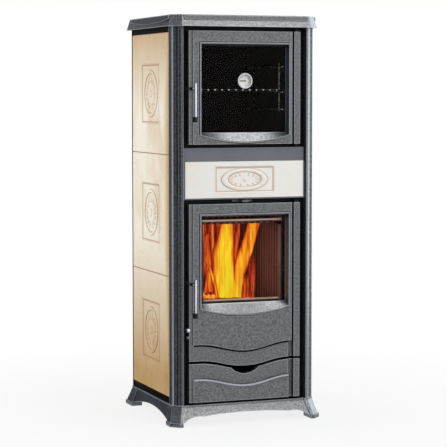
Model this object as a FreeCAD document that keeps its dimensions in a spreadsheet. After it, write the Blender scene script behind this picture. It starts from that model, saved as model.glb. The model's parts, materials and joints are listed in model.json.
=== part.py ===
import FreeCAD, Part
import os
import Sketcher

# Tall wood cookstove: an oven above a firebox, a storage drawer below, glazed tiles at the sides.
# Millimetres. +Z up, the front faces -Y, origin on the floor under the middle of the stove.

SIZES = {
    # whole body
    "body_half_width": 245, "body_depth": 444, "base_height": 65,
    "fit_gap": 0.3, "cut_overrun": 5, "sheet": 3,
    # heights of the front, from the base up to the top plate
    "drawer_clearance": 7.4, "drawer_height": 125.6, "door_gap": 9, "fire_door_height": 507.1,
    "tile_gap": 19.3, "front_tile_height": 117.3, "band_height": 44, "oven_door_gap": 11.4,
    "oven_door_height": 362.9, "top_gap": 13.7, "top_thickness": 37,
    # feet and skirts
    "foot_flare": 16, "foot_width": 39, "foot_inner_flare": 20, "foot_side_length": 58,
    "foot_toe_shift": 22, "foot_front_flare": 28, "foot_chamfer": 26, "foot_knee_height": 36,
    "hoof_height": 13, "hoof_lip": 3, "rear_foot_flare": 34, "rear_foot_chamfer": 6,
    "foot_bead_proud": 2, "foot_bead_gap": 2,
    "skirt_thickness": 8, "skirt_setback": 4, "skirt_drop": 36, "skirt_crown_drop": 29,
    "skirt_leg_width": 6, "skirt_step_inset": 56, "skirt_bead": 5, "skirt_bead_proud": 3.5,
    "side_arch_rise": 22,
    # posts
    "post_width": 32, "post_strip": 6, "post_chamfer": 26, "post_depth": 40, "post_wall": 6,
    "post_flute_depth": 4, "post_bead_proud": 3, "post_core_setback": 12, "rear_post_bevel": 6,
    "rear_post_flange": 40,
    # top plate
    "top_overhang_x": 11, "top_overhang_y": 15.5, "top_taper": 9, "top_corner": 33, "top_skin": 9,
    "top_panel_inset": 40, "top_panel_proud": 7.5, "top_panel_edge": 2, "top_panel_end": 14,
    "top_panel_sag": 11, "top_front_inset": 42, "top_front_proud": 5.6, "top_front_drop": 17,
    "top_front_round": 9,
    # side tiles
    "tile_setback": 52, "rear_return": 16, "tile_rail_low": 23, "tile_rail_high": 17.4,
    "tile_thickness": 12, "tile_joint": 0.8, "rail_setback": 1,
    "relief_side": 98, "relief_end": 98, "relief_depth": 2.5, "relief_ring": 9,
    "relief_gap_across": 20, "relief_gap_up": 22,
    # front frame and its mouths
    "frame_setback": 30, "frame_thickness": 4, "drawer_mouth_inset": 16.5,
    "ash_mouth_extra": 4, "ash_mouth_gap": 22, "fire_mouth_inset": 12, "fire_mouth_foot": 46,
    "fire_mouth_head": 12, "oven_mouth_inset": 2, "oven_mouth_foot": 9, "oven_mouth_head": 10,
    "latch_slot_width": 16, "latch_slot_reach": 22,
    # middle band and front tile
    "band_gap": 5, "band_setback": 12, "tray_gap": 3, "tray_wall": 5.2, "tray_lip": 4,
    "tray_setback": 8.5, "tray_sheet": 6, "front_tile_setback": 7.5,
    "front_relief_side": 101.5, "front_relief_end": 15.65, "front_gap_across": 25, "front_gap_up": 8,
    # doors and drawer front
    "door_side_gap": 20.5, "door_setback": 5, "door_thickness": 20, "panel_proud": 3,
    "left_stile": 12.5, "right_stile": 29.5, "stile_groove": 8.5, "stile_groove_depth": 8,
    "low_groove": 19, "wave_inset": 3, "wave_groove": 4, "wave_groove_depth": 3,
    "fire_wave_sag": 22, "fire_band_rise": 53, "fire_band_sag": 25,
    "glass_inset": 11, "glass_bevel": 6, "glass_setback": 20, "glass_thickness": 4,
    "glass_lap": 12, "bead_width": 5, "bead_proud": 2, "bead_groove": 2.5, "bead_groove_depth": 2.5,
    "oven_glass_foot": 37.6, "oven_glass_head": 41.3, "fire_glass_foot": 184, "fire_glass_head": 36.1,
    "sill_end_drop": 8, "sill_sag": 21, "sill_end_extra": 7,
    "door_hollow_side": 20, "door_hollow_depth": 11, "door_hollow_foot": 8, "door_hollow_head": 56,
    "clip_length": 26, "clip_width": 17, "clip_thickness": 2, "clip_lap": 2,
    "rope_inset": 24.5, "rope_width": 9, "rope_edge": 8,
    "drawer_sag": 22, "grip_width": 120, "grip_drop": 17, "grip_shoulder": 22,
    "drawer_band_rise": 75.6, "drawer_band_sag": 25,
    "drawer_box_gap": 11, "drawer_box_drop": 48, "drawer_rear_gap": 114, "drawer_sheet": 1.5,
    # hinges
    "hinge_inset": 10.5, "hinge_setback": 15, "pin_radius": 4, "pin_play": 0.05, "pin_seat": 14,
    "bracket_height": 7, "bracket_width": 16, "bracket_setback": 8, "bracket_gap": 1,
    # handles and latches
    "hub_inset": 6.5, "oven_hub_rise": 178.6, "fire_hub_rise": 252, "shaft_radius": 5, "hub_radius": 7,
    "handle_reach": 45, "grip_radius": 4.5, "grip_above": 17, "grip_below": 107,
    "tip_radius": 8, "tip_length": 17, "latch_reach": 20, "latch_width": 10, "latch_thickness": 4,
    "latch_gap": 1.5,
    # oven
    "oven_sheet": 2, "oven_rear_gap": 74, "rail_wire": 2.5, "rail_front_gap": 43, "rail_rear_gap": 70,
    "rung_front_gap": 4, "rung_rear_gap": 25, "rail_foot": 75, "rail_height": 159, "rail_end": 10,
    "rack_rise": 66, "rack_wire": 2, "rack_bar": 3, "rack_front_gap": 26, "rack_rear_gap": 40,
    "rack_rod_margin": 18, "rack_rod_pitch": 24,
    # thermometer
    "dial_rise": 166, "case_radius": 25, "case_depth": 15, "case_wall": 4, "dial_recess": 9,
    "stem_radius": 5, "stem_length": 26, "needle_length": 16, "needle_tail": 6, "needle_width": 2.4,
    "needle_thickness": 1, "needle_pin": 1.5, "needle_gap": 1.2,
    # firebox
    "lining_lap": 9, "lining_thickness": 22, "shell_foot": 23, "shell_head": 22, "hearth": 6,
    "shell_rear_gap": 117, "lining_front_gap": 8, "lining_drop": 50, "back_lining_thickness": 18,
    "rib_pitch": 11, "rib_width": 6, "rib_depth": 5, "smoke_hole_inset": 31, "smoke_hole_depth": 70,
    "grate_side_gap": 41, "grate_front_gap": 61, "grate_rear_gap": 62, "grate_thickness": 12,
    "grate_slot": 8, "grate_slot_pitch": 18, "grate_slot_margin": 18, "grate_ledge": 8,
    "baffle_front_gap": 86, "baffle_thickness": 9, "guard_gap": 6, "guard_thickness": 8, "guard_rise": 10,
    "air_bar_gap": 3, "air_bar_depth": 24, "air_bar_rise": 12, "air_bar_height": 9,
    # ash pan and shelf
    "shelf_gap": 5, "pan_side_gap": 7, "pan_top_gap": 32, "pan_front_gap": 38, "pan_rear_gap": 114,
    "pan_sheet": 1.5, "pan_lip": 10, "pan_lip_width": 80, "pan_lip_height": 30,
    # air controls
    "control_gap": 10.5, "air_knob_drop": 11, "grate_knob_drop": 35, "control_rod": 3, "rod_play": 0.3,
    "knob_radius": 7.5, "knob_reach": 12, "dark_knob_radius": 6, "dark_knob_reach": 9,
    "air_rod_length": 86, "air_disc_radius": 18, "air_disc_thickness": 4,
    "lever_rise": 7.9, "lever_width": 10, "lever_height": 6, "lever_tab_width": 22,
    "lever_tab_setback": 2, "lever_tab_depth": 6, "lever_slot_width": 72, "register_width": 120,
    "register_height": 18, "register_thickness": 2,
    # flue
    "flue_drop": 163, "flue_bore": 65.3, "flue_wall": 3.5, "flue_reach": 45, "flue_flange": 18,
    "flue_flange_thickness": 4,
}


class Size:
    """A length: the sheet expression that drives it, and its present value."""

    def __init__(self, text, value):
        self.text = text
        self.value = float(value)

    def joined(self, other, sign, value):
        other_text = other.text if isinstance(other, Size) else repr(float(other))
        return Size(f"({self.text} {sign} {other_text})", value)

    def __float__(self):
        return self.value

    def __add__(self, other):
        return self.joined(other, "+", self.value + float(other))

    def __sub__(self, other):
        return self.joined(other, "-", self.value - float(other))

    def __mul__(self, other):
        return self.joined(other, "*", self.value * float(other))

    def __truediv__(self, other):
        return self.joined(other, "/", self.value / float(other))

    def __neg__(self):
        return Size(f"(-1 * {self.text})", -self.value)

    def root(self):
        return Size(f"sqrt({self.text})", self.value ** 0.5)


class Sheet:
    """The driving dimensions, each a cell with an alias, read back as Size values."""

    def __init__(self, doc, sizes):
        self.cells = doc.addObject("Spreadsheet::Sheet", "Sizes")
        for row, (name, value) in enumerate(sizes.items(), start=1):
            self.cells.set(f"A{row}", name)
            self.cells.set(f"B{row}", str(value))
            self.cells.setAlias(f"B{row}", name)
        doc.recompute()

    def __getattr__(self, name):
        return Size(f"Sizes.{name}", self.cells.get(name))


class Through:
    """The middle point of an arc between two corners of an outline."""

    def __init__(self, across, up):
        self.point = (across, up)


class Round:
    """A full circle or, with two radii, an ellipse in a sketch."""

    def __init__(self, across, up, radius, radius_up=None):
        self.centre = (across, up)
        self.radius = radius
        self.radius_up = radius_up


doc = FreeCAD.newDocument("cookstove")
S = Sheet(doc, SIZES)
NODES = []


def vector(pair):
    return FreeCAD.Vector(float(pair[0]), float(pair[1]), 0)


def bind(item, name, size):
    """Drive one property from the sheet."""
    item.setExpression(name, size.text if isinstance(size, Size) else repr(float(size)))


def pin_point(drawing, geometry, position, pair):
    """Hold a sketch point at driven distances from the sketch origin."""
    for kind, size in zip(("DistanceX", "DistanceY"), pair):
        index = drawing.addConstraint(Sketcher.Constraint(kind, -1, 1, geometry, position, float(size)))
        bind(drawing, f"Constraints[{index}]", size)


def draw_round(drawing, item):
    centre = vector(item.centre)
    if item.radius_up is None:
        circle = drawing.addGeometry(Part.Circle(centre, FreeCAD.Vector(0, 0, 1), float(item.radius)))
        index = drawing.addConstraint(Sketcher.Constraint("Radius", circle, float(item.radius)))
        bind(drawing, f"Constraints[{index}]", item.radius)
        pin_point(drawing, circle, 3, item.centre)
        return
    across = (item.centre[0] + item.radius, item.centre[1])
    up = (item.centre[0], item.centre[1] + item.radius_up)
    upright = float(item.radius_up) > float(item.radius)
    long_end, short_end = (up, across) if upright else (across, up)
    oval = drawing.addGeometry(Part.Ellipse(vector(long_end), vector(short_end), centre))
    drawing.exposeInternalGeometry(oval)
    pin_point(drawing, oval, 3, item.centre)
    pin_point(drawing, oval + 1, nearer_end(drawing, oval + 1, long_end), long_end)
    kind, size = ("DistanceX", short_end[0]) if upright else ("DistanceY", short_end[1])
    position = nearer_end(drawing, oval + 2, short_end)
    index = drawing.addConstraint(Sketcher.Constraint(kind, -1, 1, oval + 2, position, float(size)))
    bind(drawing, f"Constraints[{index}]", size)


def nearer_end(drawing, geometry, pair):
    """Which end of a sketch line stands at a point: 1 for its start, 2 for its end."""
    line = drawing.Geometry[geometry]
    point = vector(pair)
    return 1 if line.StartPoint.distanceToPoint(point) < line.EndPoint.distanceToPoint(point) else 2


def draw_outline(drawing, items):
    """A closed outline of straight runs, with an arc wherever a Through point stands between corners."""
    corners = [item for item in items if not isinstance(item, Through)]
    middles = {}
    for item in items:
        if isinstance(item, Through):
            middles[passed] = item.point
        else:
            passed = corners.index(item)
    pieces = []
    for index, corner in enumerate(corners):
        start, end = vector(corner), vector(corners[(index + 1) % len(corners)])
        if index not in middles:
            pieces.append((drawing.addGeometry(Part.LineSegment(start, end)), 1, 2))
            continue
        middle = vector(middles[index])
        counter_clockwise = (middle - start).cross(end - start).z > 0
        ends = (1, 2) if counter_clockwise else (2, 1)
        arc = Part.Arc(start, middle, end) if counter_clockwise else Part.Arc(end, middle, start)
        pieces.append((drawing.addGeometry(arc), *ends))
    for index, (piece, first, last) in enumerate(pieces):
        following, following_first, _ = pieces[(index + 1) % len(pieces)]
        drawing.addConstraint(Sketcher.Constraint("Coincident", piece, last, following, following_first))
        pin_point(drawing, piece, first, corners[index])
    for index, middle in middles.items():
        mark = drawing.addGeometry(Part.Point(vector(middle)), True)
        drawing.addConstraint(Sketcher.Constraint("PointOnObject", mark, 1, pieces[index][0]))
        pin_point(drawing, mark, 1, middle)


def sketch(body, role, offset, *loops):
    """A sketch on one of the body's origin planes, moved along that plane's normal."""
    drawing = body.newObject("Sketcher::SketchObject", body.Name + "Sketch")
    plane = [item for item in body.Origin.OriginFeatures if item.Role == role][0]
    drawing.AttachmentSupport = [(plane, "")]
    drawing.MapMode = "FlatFace"
    bind(drawing, "AttachmentOffset.Base.z", offset)
    for loop in loops:
        if isinstance(loop, Round):
            draw_round(drawing, loop)
        else:
            draw_outline(drawing, loop)
    return drawing


def new_body(label):
    body = doc.addObject("PartDesign::Body", label)
    NODES.append(body)
    body.Label = label
    return body


def pad(body, drawing, length):
    feature = body.newObject("PartDesign::Pad", body.Name + "Pad")
    feature.Profile = drawing
    bind(feature, "Length", length)
    return feature


def pocket(body, drawing, depth, backwards=False):
    feature = body.newObject("PartDesign::Pocket", body.Name + "Pocket")
    feature.Profile = drawing
    feature.Reversed = backwards
    bind(feature, "Length", depth)
    return feature


def facing(body, front, back, *loops):
    """Pad outlines drawn in X and Z from the back plane to the front plane."""
    return pad(body, sketch(body, "XZ_Plane", -back, *loops), back - front)


def carve(body, front, back, *loops):
    """Cut outlines drawn in X and Z between a front plane and a back plane."""
    return pocket(body, sketch(body, "XZ_Plane", -front, *loops), back - front)


def standing(body, bottom, top, *loops):
    """Pad outlines drawn in X and Y from the bottom to the top."""
    return pad(body, sketch(body, "XY_Plane", bottom, *loops), top - bottom)


def hollow(body, bottom, top, *loops):
    """Cut outlines drawn in X and Y from the top down to the bottom."""
    return pocket(body, sketch(body, "XY_Plane", top, *loops), top - bottom)


def rectangle(left, right, low, high):
    return [(left, low), (right, low), (right, high), (left, high)]


def block(name, left, right, front, back, bottom, top):
    """A box between driven planes."""
    item = doc.addObject("Part::Box", name)
    for prop, size in (("Length", right - left), ("Width", back - front), ("Height", top - bottom)):
        bind(item, prop, size)
    for axis, size in zip("xyz", (left, front, bottom)):
        bind(item, f"Placement.Base.{axis}", size)
    return item


TURNS = {"X": FreeCAD.Rotation(FreeCAD.Vector(0, 1, 0), 90),
         "Y": FreeCAD.Rotation(FreeCAD.Vector(1, 0, 0), -90),
         "Z": FreeCAD.Rotation()}


def rod(name, radius, direction, start, length):
    """A round bar from its start point along X, Y or Z."""
    item = doc.addObject("Part::Cylinder", name)
    item.Placement = FreeCAD.Placement(FreeCAD.Vector(), TURNS[direction])
    bind(item, "Radius", radius)
    bind(item, "Height", length)
    for axis, size in zip("xyz", start):
        bind(item, f"Placement.Base.{axis}", size)
    return item


def ball(name, radius, centre):
    item = doc.addObject("Part::Sphere", name)
    bind(item, "Radius", radius)
    for axis, size in zip("xyz", centre):
        bind(item, f"Placement.Base.{axis}", size)
    return item


def fused(name, items):
    item = doc.addObject("Part::MultiFuse", name)
    item.Shapes = items
    return item


def less(name, base, tools):
    item = doc.addObject("Part::Cut", name)
    item.Base = base
    item.Tool = tools[0] if len(tools) == 1 else fused(name + "_tools", tools)
    return item


def group(name, items):
    item = doc.addObject("Part::Compound", name)
    item.Links = items
    return item


def node(item, label):
    item.Label = label
    NODES.append(item)
    return item


ZERO = Size("0", 0)

# Depths, from the front to the rear
FRONT = -S.body_depth / 2
REAR = S.body_depth / 2
DOOR_FRONT = FRONT + S.door_setback
DOOR_BACK = DOOR_FRONT + S.door_thickness
PANEL_FRONT = DOOR_FRONT - S.panel_proud
FRAME_FRONT = FRONT + S.frame_setback
FRAME_BACK = FRAME_FRONT + S.frame_thickness
REAR_SHEET_BACK = REAR - S.sheet
REAR_SHEET_FRONT = REAR_SHEET_BACK - S.sheet
TILE_FRONT = FRONT + S.tile_setback
TILE_BACK = REAR - S.rear_return
HINGE_Y = FRONT + S.hinge_setback
OVEN_BACK = REAR - S.oven_rear_gap
SHELL_BACK = REAR - S.shell_rear_gap
GRATE_FRONT = FRAME_BACK + S.grate_front_gap
GRATE_BACK = SHELL_BACK - S.grate_rear_gap

# Heights, from the floor to the top
DRAWER_BOTTOM = S.base_height + S.drawer_clearance
DRAWER_END = DRAWER_BOTTOM + S.drawer_height
FIRE_DOOR_BOTTOM = DRAWER_END + S.door_gap
FIRE_DOOR_TOP = FIRE_DOOR_BOTTOM + S.fire_door_height
FRONT_TILE_BOTTOM = FIRE_DOOR_TOP + S.tile_gap
FRONT_TILE_TOP = FRONT_TILE_BOTTOM + S.front_tile_height
BAND_BOTTOM = FRONT_TILE_TOP + S.fit_gap
BAND_TOP = BAND_BOTTOM + S.band_height
OVEN_DOOR_BOTTOM = BAND_TOP + S.oven_door_gap
OVEN_DOOR_TOP = OVEN_DOOR_BOTTOM + S.oven_door_height
TOP_UNDER = OVEN_DOOR_TOP + S.top_gap
TOP = TOP_UNDER + S.top_thickness
TILE_BOTTOM = S.base_height + S.tile_rail_low
TILE_TOP = TOP_UNDER - S.tile_rail_high
OVEN_GLASS_BOTTOM = OVEN_DOOR_BOTTOM + S.oven_glass_foot
OVEN_GLASS_TOP = OVEN_DOOR_TOP - S.oven_glass_head
OVEN_MOUTH_BOTTOM = OVEN_GLASS_BOTTOM - S.oven_mouth_foot
OVEN_MOUTH_TOP = OVEN_GLASS_TOP + S.oven_mouth_head
OVEN_HUB_Z = OVEN_DOOR_BOTTOM + S.oven_hub_rise
DIAL_Z = OVEN_GLASS_BOTTOM + S.dial_rise
FIRE_GLASS_BOTTOM = FIRE_DOOR_BOTTOM + S.fire_glass_foot
FIRE_GLASS_TOP = FIRE_DOOR_TOP - S.fire_glass_head
FIRE_MOUTH_BOTTOM = FIRE_GLASS_BOTTOM - S.fire_mouth_foot
FIRE_MOUTH_TOP = FIRE_GLASS_TOP + S.fire_mouth_head
FIRE_BAND_END = FIRE_DOOR_BOTTOM + S.fire_band_rise
FIRE_HUB_Z = FIRE_DOOR_BOTTOM + S.fire_hub_rise
SHELL_BOTTOM = FIRE_MOUTH_BOTTOM - S.shell_foot
SHELL_TOP = FIRE_MOUTH_TOP + S.shell_head
LINING_TOP = FIRE_MOUTH_TOP - S.lining_drop
SHELF_TOP = DRAWER_END + S.shelf_gap + S.sheet
ASH_MOUTH_TOP = SHELL_BOTTOM - S.ash_mouth_gap
AIR_KNOB_Z = SHELL_BOTTOM - S.air_knob_drop
GRATE_KNOB_Z = SHELL_BOTTOM - S.grate_knob_drop
LEVER_Z = FIRE_DOOR_TOP + S.lever_rise
FLUE_Z = TOP_UNDER - S.flue_drop

# Half widths, from the sides to the middle
TILE_INNER = S.body_half_width - S.tile_thickness
LINER_X = TILE_INNER - S.sheet
POST_INNER = S.body_half_width - S.post_width
TRAY_HALF = POST_INNER - S.tray_gap
FRONT_TILE_HALF = TRAY_HALF - S.tray_wall - S.fit_gap
DOOR_HALF = POST_INNER - S.door_side_gap
PANEL_LEFT = DOOR_HALF - S.left_stile
PANEL_RIGHT = DOOR_HALF - S.right_stile
WAVE_HALF = PANEL_RIGHT - S.wave_inset
GLASS_HALF = PANEL_RIGHT - S.glass_inset
HINGE_X = DOOR_HALF - S.hinge_inset
HUB_X = DOOR_HALF - S.hub_inset
CONTROL_X = DOOR_HALF + S.control_gap
DRAWER_MOUTH_HALF = DOOR_HALF - S.drawer_mouth_inset
OVEN_MOUTH_HALF = GLASS_HALF - S.oven_mouth_inset
FIRE_MOUTH_HALF = GLASS_HALF - S.fire_mouth_inset
FIRE_HALF = FIRE_MOUTH_HALF - S.lining_lap
ASH_MOUTH_HALF = FIRE_HALF + S.ash_mouth_extra
GRATE_HALF = FIRE_HALF - S.grate_side_gap

KNEE_SHARE = 0.45
HOOF_SHARE = 0.85
CREST_SHARE = 0.75
BEND_SHARE = 0.3
CORNER_SHARE = 1 - 0.5 ** 0.5
FLUTE_SHARES = (0.32, 0.52, 0.72)
BEAD_SHARES = (0.84, 0.96)
CLIP_SHARES = (0.1, 0.5, 0.9)


def wave(half, end_z, sag):
    """Left to right: a crest, a valley and a crest, as arcs that meet in line half way down."""
    radius = (half * half / 4 + sag * sag / 4) / sag
    quarter_rise = radius - (radius * radius - half * half / 16).root()
    middle_z = end_z - sag
    return [(-half, end_z), Through(-half * CREST_SHARE, end_z - quarter_rise), (-half / 2, end_z - sag / 2),
            Through(ZERO, middle_z), (half / 2, end_z - sag / 2),
            Through(half * CREST_SHARE, end_z - quarter_rise), (half, end_z)]


def ribbon(end_z, sag, width):
    """A strip of even height whose upper and lower edges are the same wave."""
    return [*wave(WAVE_HALF, end_z, sag), *reversed(wave(WAVE_HALF, end_z - width, sag))]


def foot_inner(share):
    """How far from the middle a foot's inner face stands, from 0 at its top to 1 at the floor."""
    return S.body_half_width - S.foot_width + S.foot_inner_flare * share


def foot_length(share):
    """How far a foot reaches along the side of the stove, from 0 at its top to 1 at the floor."""
    return S.foot_side_length - S.foot_toe_shift * share


def leaning(body, outline):
    """A solid through outlines in X and Y at the base, the knee and the hoof, leaning out as the feet do."""
    sections = [(S.base_height, 0), (S.foot_knee_height, KNEE_SHARE), (S.hoof_height, HOOF_SHARE)]
    drawings = [sketch(body, "XY_Plane", z, outline(share)) for z, share in sections]
    feature = body.newObject("PartDesign::AdditiveLoft", body.Name + "Lean")
    feature.Profile = drawings[0]
    feature.Sections = drawings[1:]
    feature.Ruled = True


def foot(label, side, front_y, inward, flare_y, chamfer):
    """A corner foot: the post's outline flares out from a bead and down to a hoof."""
    body = new_body(label)

    def outline(share, lip=ZERO, gap=ZERO):
        outer = S.body_half_width + S.foot_flare * share + lip
        inner = (foot_inner(share) + gap) * side
        near = front_y - (flare_y * share + lip) * inward
        far = front_y + (foot_length(share) - gap) * inward
        return [(inner, near), ((outer - chamfer) * side, near), (outer * side, near + chamfer * inward),
                (outer * side, far), (inner, far)]

    leaning(body, outline)
    standing(body, ZERO, S.hoof_height, outline(HOOF_SHARE, S.hoof_lip))
    collar = outline(0, S.foot_bead_proud, S.foot_bead_gap)
    standing(body, S.base_height - S.skirt_bead, S.base_height, collar)


def front_skirt():
    """A thin apron that leans out between the feet, with a bead along its top and a curved lower edge."""
    body = doc.addObject("PartDesign::Body", "front_skirt")
    front = FRONT + S.skirt_setback

    def outline(share):
        near = front - S.foot_front_flare * share
        return rectangle(-foot_inner(share), foot_inner(share), near, near + S.skirt_thickness)

    leaning(body, outline)
    top, low = foot_inner(0), S.hoof_height
    start = foot_inner(HOOF_SHARE) - S.skirt_leg_width
    step = top - S.skirt_step_inset
    step_z = S.base_height - S.skirt_drop
    bend_x = start - (start - step) * BEND_SHARE
    bend_z = step_z - (step_z - low) * BEND_SHARE
    below = low - S.cut_overrun
    arch = [(-start, below), (start, below), (start, low), Through(bend_x, bend_z), (step, step_z),
            Through(ZERO, S.base_height - S.skirt_crown_drop), (-step, step_z), Through(-bend_x, bend_z),
            (-start, low)]
    carve(body, FRONT - S.foot_front_flare, front + S.skirt_thickness + S.cut_overrun, arch)
    facing(body, front - S.skirt_bead_proud, front + S.skirt_thickness,
           rectangle(-top, top, S.base_height - S.skirt_bead, S.base_height))
    return body


def side_skirt(name, side):
    """An apron that leans out between the side feet, with a bead along its top and one long arch."""
    body = doc.addObject("PartDesign::Body", name)
    face = S.body_half_width - S.skirt_setback

    def outline(share):
        outer = face + S.foot_flare * share
        return rectangle(*sorted((outer * side, (outer - S.skirt_thickness) * side), key=float),
                         FRONT + foot_length(share), REAR - foot_length(share))

    leaning(body, outline)
    low = S.hoof_height
    below = low - S.cut_overrun
    start = FRONT + foot_length(HOOF_SHARE) + S.skirt_leg_width
    arch = [(start, below), (-start, below), (-start, low), Through(ZERO, low + S.side_arch_rise),
            (start, low)]
    inside = face - S.skirt_thickness - S.cut_overrun
    outside = S.body_half_width + S.foot_flare
    pocket(body, sketch(body, "YZ_Plane", outside if side > 0 else -inside, arch), outside - inside)
    bead = rectangle(FRONT + foot_length(0), REAR - foot_length(0), S.base_height - S.skirt_bead,
                     S.base_height)
    plane = face - S.skirt_thickness if side > 0 else -face - S.skirt_bead_proud
    pad(body, sketch(body, "YZ_Plane", plane, bead), S.skirt_thickness + S.skirt_bead_proud)
    return body


def front_post(label, side):
    """A folded post: front strip, chamfer with flute and bead, side face up to the tiles."""
    body = new_body(label)
    strip_end = POST_INNER + S.post_strip
    inner_x = POST_INNER + S.post_wall
    inner_y = FRONT + S.post_core_setback
    tile_edge = TILE_FRONT - S.fit_gap

    def chamfer(share, proud=ZERO):
        diagonal_share = 0.5 ** 0.5
        across = strip_end + S.post_chamfer * share + proud * diagonal_share
        return across * side, FRONT + S.post_chamfer * share - proud * diagonal_share

    def through(share, proud):
        return Through(*chamfer(share, proud))

    flute_start, flute_middle, flute_end = FLUTE_SHARES
    bead_middle, bead_end = BEAD_SHARES
    outer = [(POST_INNER * side, FRONT), (strip_end * side, FRONT),
             chamfer(flute_start), through(flute_middle, -S.post_flute_depth), chamfer(flute_end),
             through(bead_middle, S.post_bead_proud), chamfer(bead_end),
             (S.body_half_width * side, FRONT + S.post_chamfer), (S.body_half_width * side, tile_edge),
             (TILE_INNER * side, tile_edge), (TILE_INNER * side, FRONT + S.post_depth),
             (POST_INNER * side, FRONT + S.post_depth)]
    deep_x = S.body_half_width - S.post_wall
    inner_back = FRONT + S.post_depth - S.post_wall
    core = [(inner_x * side, inner_y), (deep_x * side, inner_y + (deep_x - inner_x)),
            (deep_x * side, inner_back), (inner_x * side, inner_back)]
    standing(body, S.base_height, TOP_UNDER, outer, core)


def rear_post(label, side):
    """A folded rear corner: a return behind the tiles, a bevel and a flange that takes the rear panel."""
    body = new_body(label)
    start = TILE_BACK + S.fit_gap
    outer, bevel, thick = S.body_half_width, S.rear_post_bevel, S.sheet
    flange = outer - S.rear_post_flange
    points = [(outer, start), (outer, REAR - bevel), (outer - bevel, REAR), (flange, REAR),
              (flange, REAR - thick), (outer - bevel - thick / 2, REAR - thick),
              (outer - thick, REAR - bevel - thick / 2), (outer - thick, start + thick),
              (TILE_INNER, start + thick), (TILE_INNER, start)]
    standing(body, S.base_height, TOP_UNDER, [(across * side, deep) for across, deep in points])


def cut_front(half_x, half_y, corner):
    """A rectangle whose two front corners are cut off."""
    return [(-half_x + corner, -half_y), (half_x - corner, -half_y), (half_x, -half_y + corner),
            (half_x, half_y), (-half_x, half_y), (-half_x, -half_y + corner)]


def top_plate():
    """A cast top whose edge leans in, hollow below, with a strip in front and crescents at the sides."""
    body = new_body("top_plate")
    half_x = S.body_half_width + S.top_overhang_x
    half_y = S.body_depth / 2 + S.top_overhang_y
    low = sketch(body, "XY_Plane", TOP_UNDER, cut_front(half_x, half_y, S.top_corner))
    high = sketch(body, "XY_Plane", TOP,
                  cut_front(half_x - S.top_taper, half_y - S.top_taper, S.top_corner - S.top_taper / 2))
    slab = body.newObject("PartDesign::AdditiveLoft", "top_slab")
    slab.Profile = low
    slab.Sections = [high]
    slab.Ruled = True
    panel_end = half_y - S.top_panel_inset
    panel_low = TOP - S.top_panel_end
    crescent = [(-panel_end, TOP - S.top_panel_edge), (-panel_end, panel_low),
                Through(ZERO, panel_low - S.top_panel_sag), (panel_end, panel_low),
                (panel_end, TOP - S.top_panel_edge)]
    reach = half_x - S.top_taper + S.top_panel_proud
    pad(body, sketch(body, "YZ_Plane", -reach, crescent), reach * 2)
    strip_end = half_x - S.top_front_inset
    strip_low = TOP - S.top_front_drop
    strip_high = TOP - S.top_panel_edge
    bend = S.top_front_round
    inset = bend * CORNER_SHARE
    strip = [(-strip_end, strip_high), (-strip_end, strip_low + bend),
             Through(-strip_end + inset, strip_low + inset), (-strip_end + bend, strip_low),
             (strip_end - bend, strip_low), Through(strip_end - inset, strip_low + inset),
             (strip_end, strip_low + bend), (strip_end, strip_high)]
    strip_reach = half_y - S.top_taper + S.top_front_proud
    facing(body, -strip_reach, strip_reach, strip)
    hollow_y = S.body_depth / 2 - S.post_depth
    hollow(body, TOP_UNDER, TOP - S.top_skin,
           rectangle(-POST_INNER, POST_INNER, -hollow_y, hollow_y))


def inner_panel(label, side):
    """The sheet behind the side tiles, with the rails that the tiles stand in."""
    rail_outer = S.body_half_width - S.rail_setback
    sheet_front = FRONT + S.post_depth

    def across(near, far):
        return (near, far) if side > 0 else (-far, -near)

    wall = block(label + "_wall", *across(LINER_X, TILE_INNER), sheet_front, REAR_SHEET_FRONT,
                 S.base_height, TOP_UNDER)
    lower = block(label + "_lower", *across(TILE_INNER, rail_outer), TILE_FRONT, TILE_BACK,
                  S.base_height, TILE_BOTTOM)
    upper = block(label + "_upper", *across(TILE_INNER, rail_outer), TILE_FRONT, TILE_BACK,
                  TILE_TOP, TOP_UNDER)
    node(fused(label + "_sheet", [wall, lower, upper]), label)


def relief(body, plane_role, plane, backwards, centre, half_across, half_up, oval):
    """A shallow rectangular recess that leaves an oval boss with a ring cut into it."""
    middle_x, middle_z = centre
    field = rectangle(middle_x - half_across, middle_x + half_across, middle_z - half_up, middle_z + half_up)
    drawing = sketch(body, plane_role, plane, field, Round(middle_x, middle_z, *oval))
    pocket(body, drawing, S.relief_depth, backwards)
    ring = sketch(body, plane_role, plane,
                  Round(middle_x, middle_z, oval[0] - S.relief_ring, oval[1] - S.relief_ring))
    pocket(body, ring, S.relief_depth, backwards)


def side_tile(label, side, place):
    """One of three glazed tiles, 0 at the bottom, with its recessed field and oval."""
    body = new_body(label)
    pitch = (TILE_TOP - TILE_BOTTOM) / 3
    low = TILE_BOTTOM + pitch * place
    high = low + pitch - S.tile_joint
    plane = TILE_INNER if side > 0 else -S.body_half_width
    outline = rectangle(TILE_FRONT, TILE_BACK, low, high)
    pad(body, sketch(body, "YZ_Plane", plane, outline), S.tile_thickness)
    centre = ((TILE_FRONT + TILE_BACK) / 2, (low + high) / 2)
    half_across = (TILE_BACK - TILE_FRONT) / 2 - S.relief_side
    half_up = pitch / 2 - S.relief_end
    relief(body, "YZ_Plane", S.body_half_width * side, side < 0, centre, half_across, half_up,
           (half_across - S.relief_gap_across, half_up - S.relief_gap_up))


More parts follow.
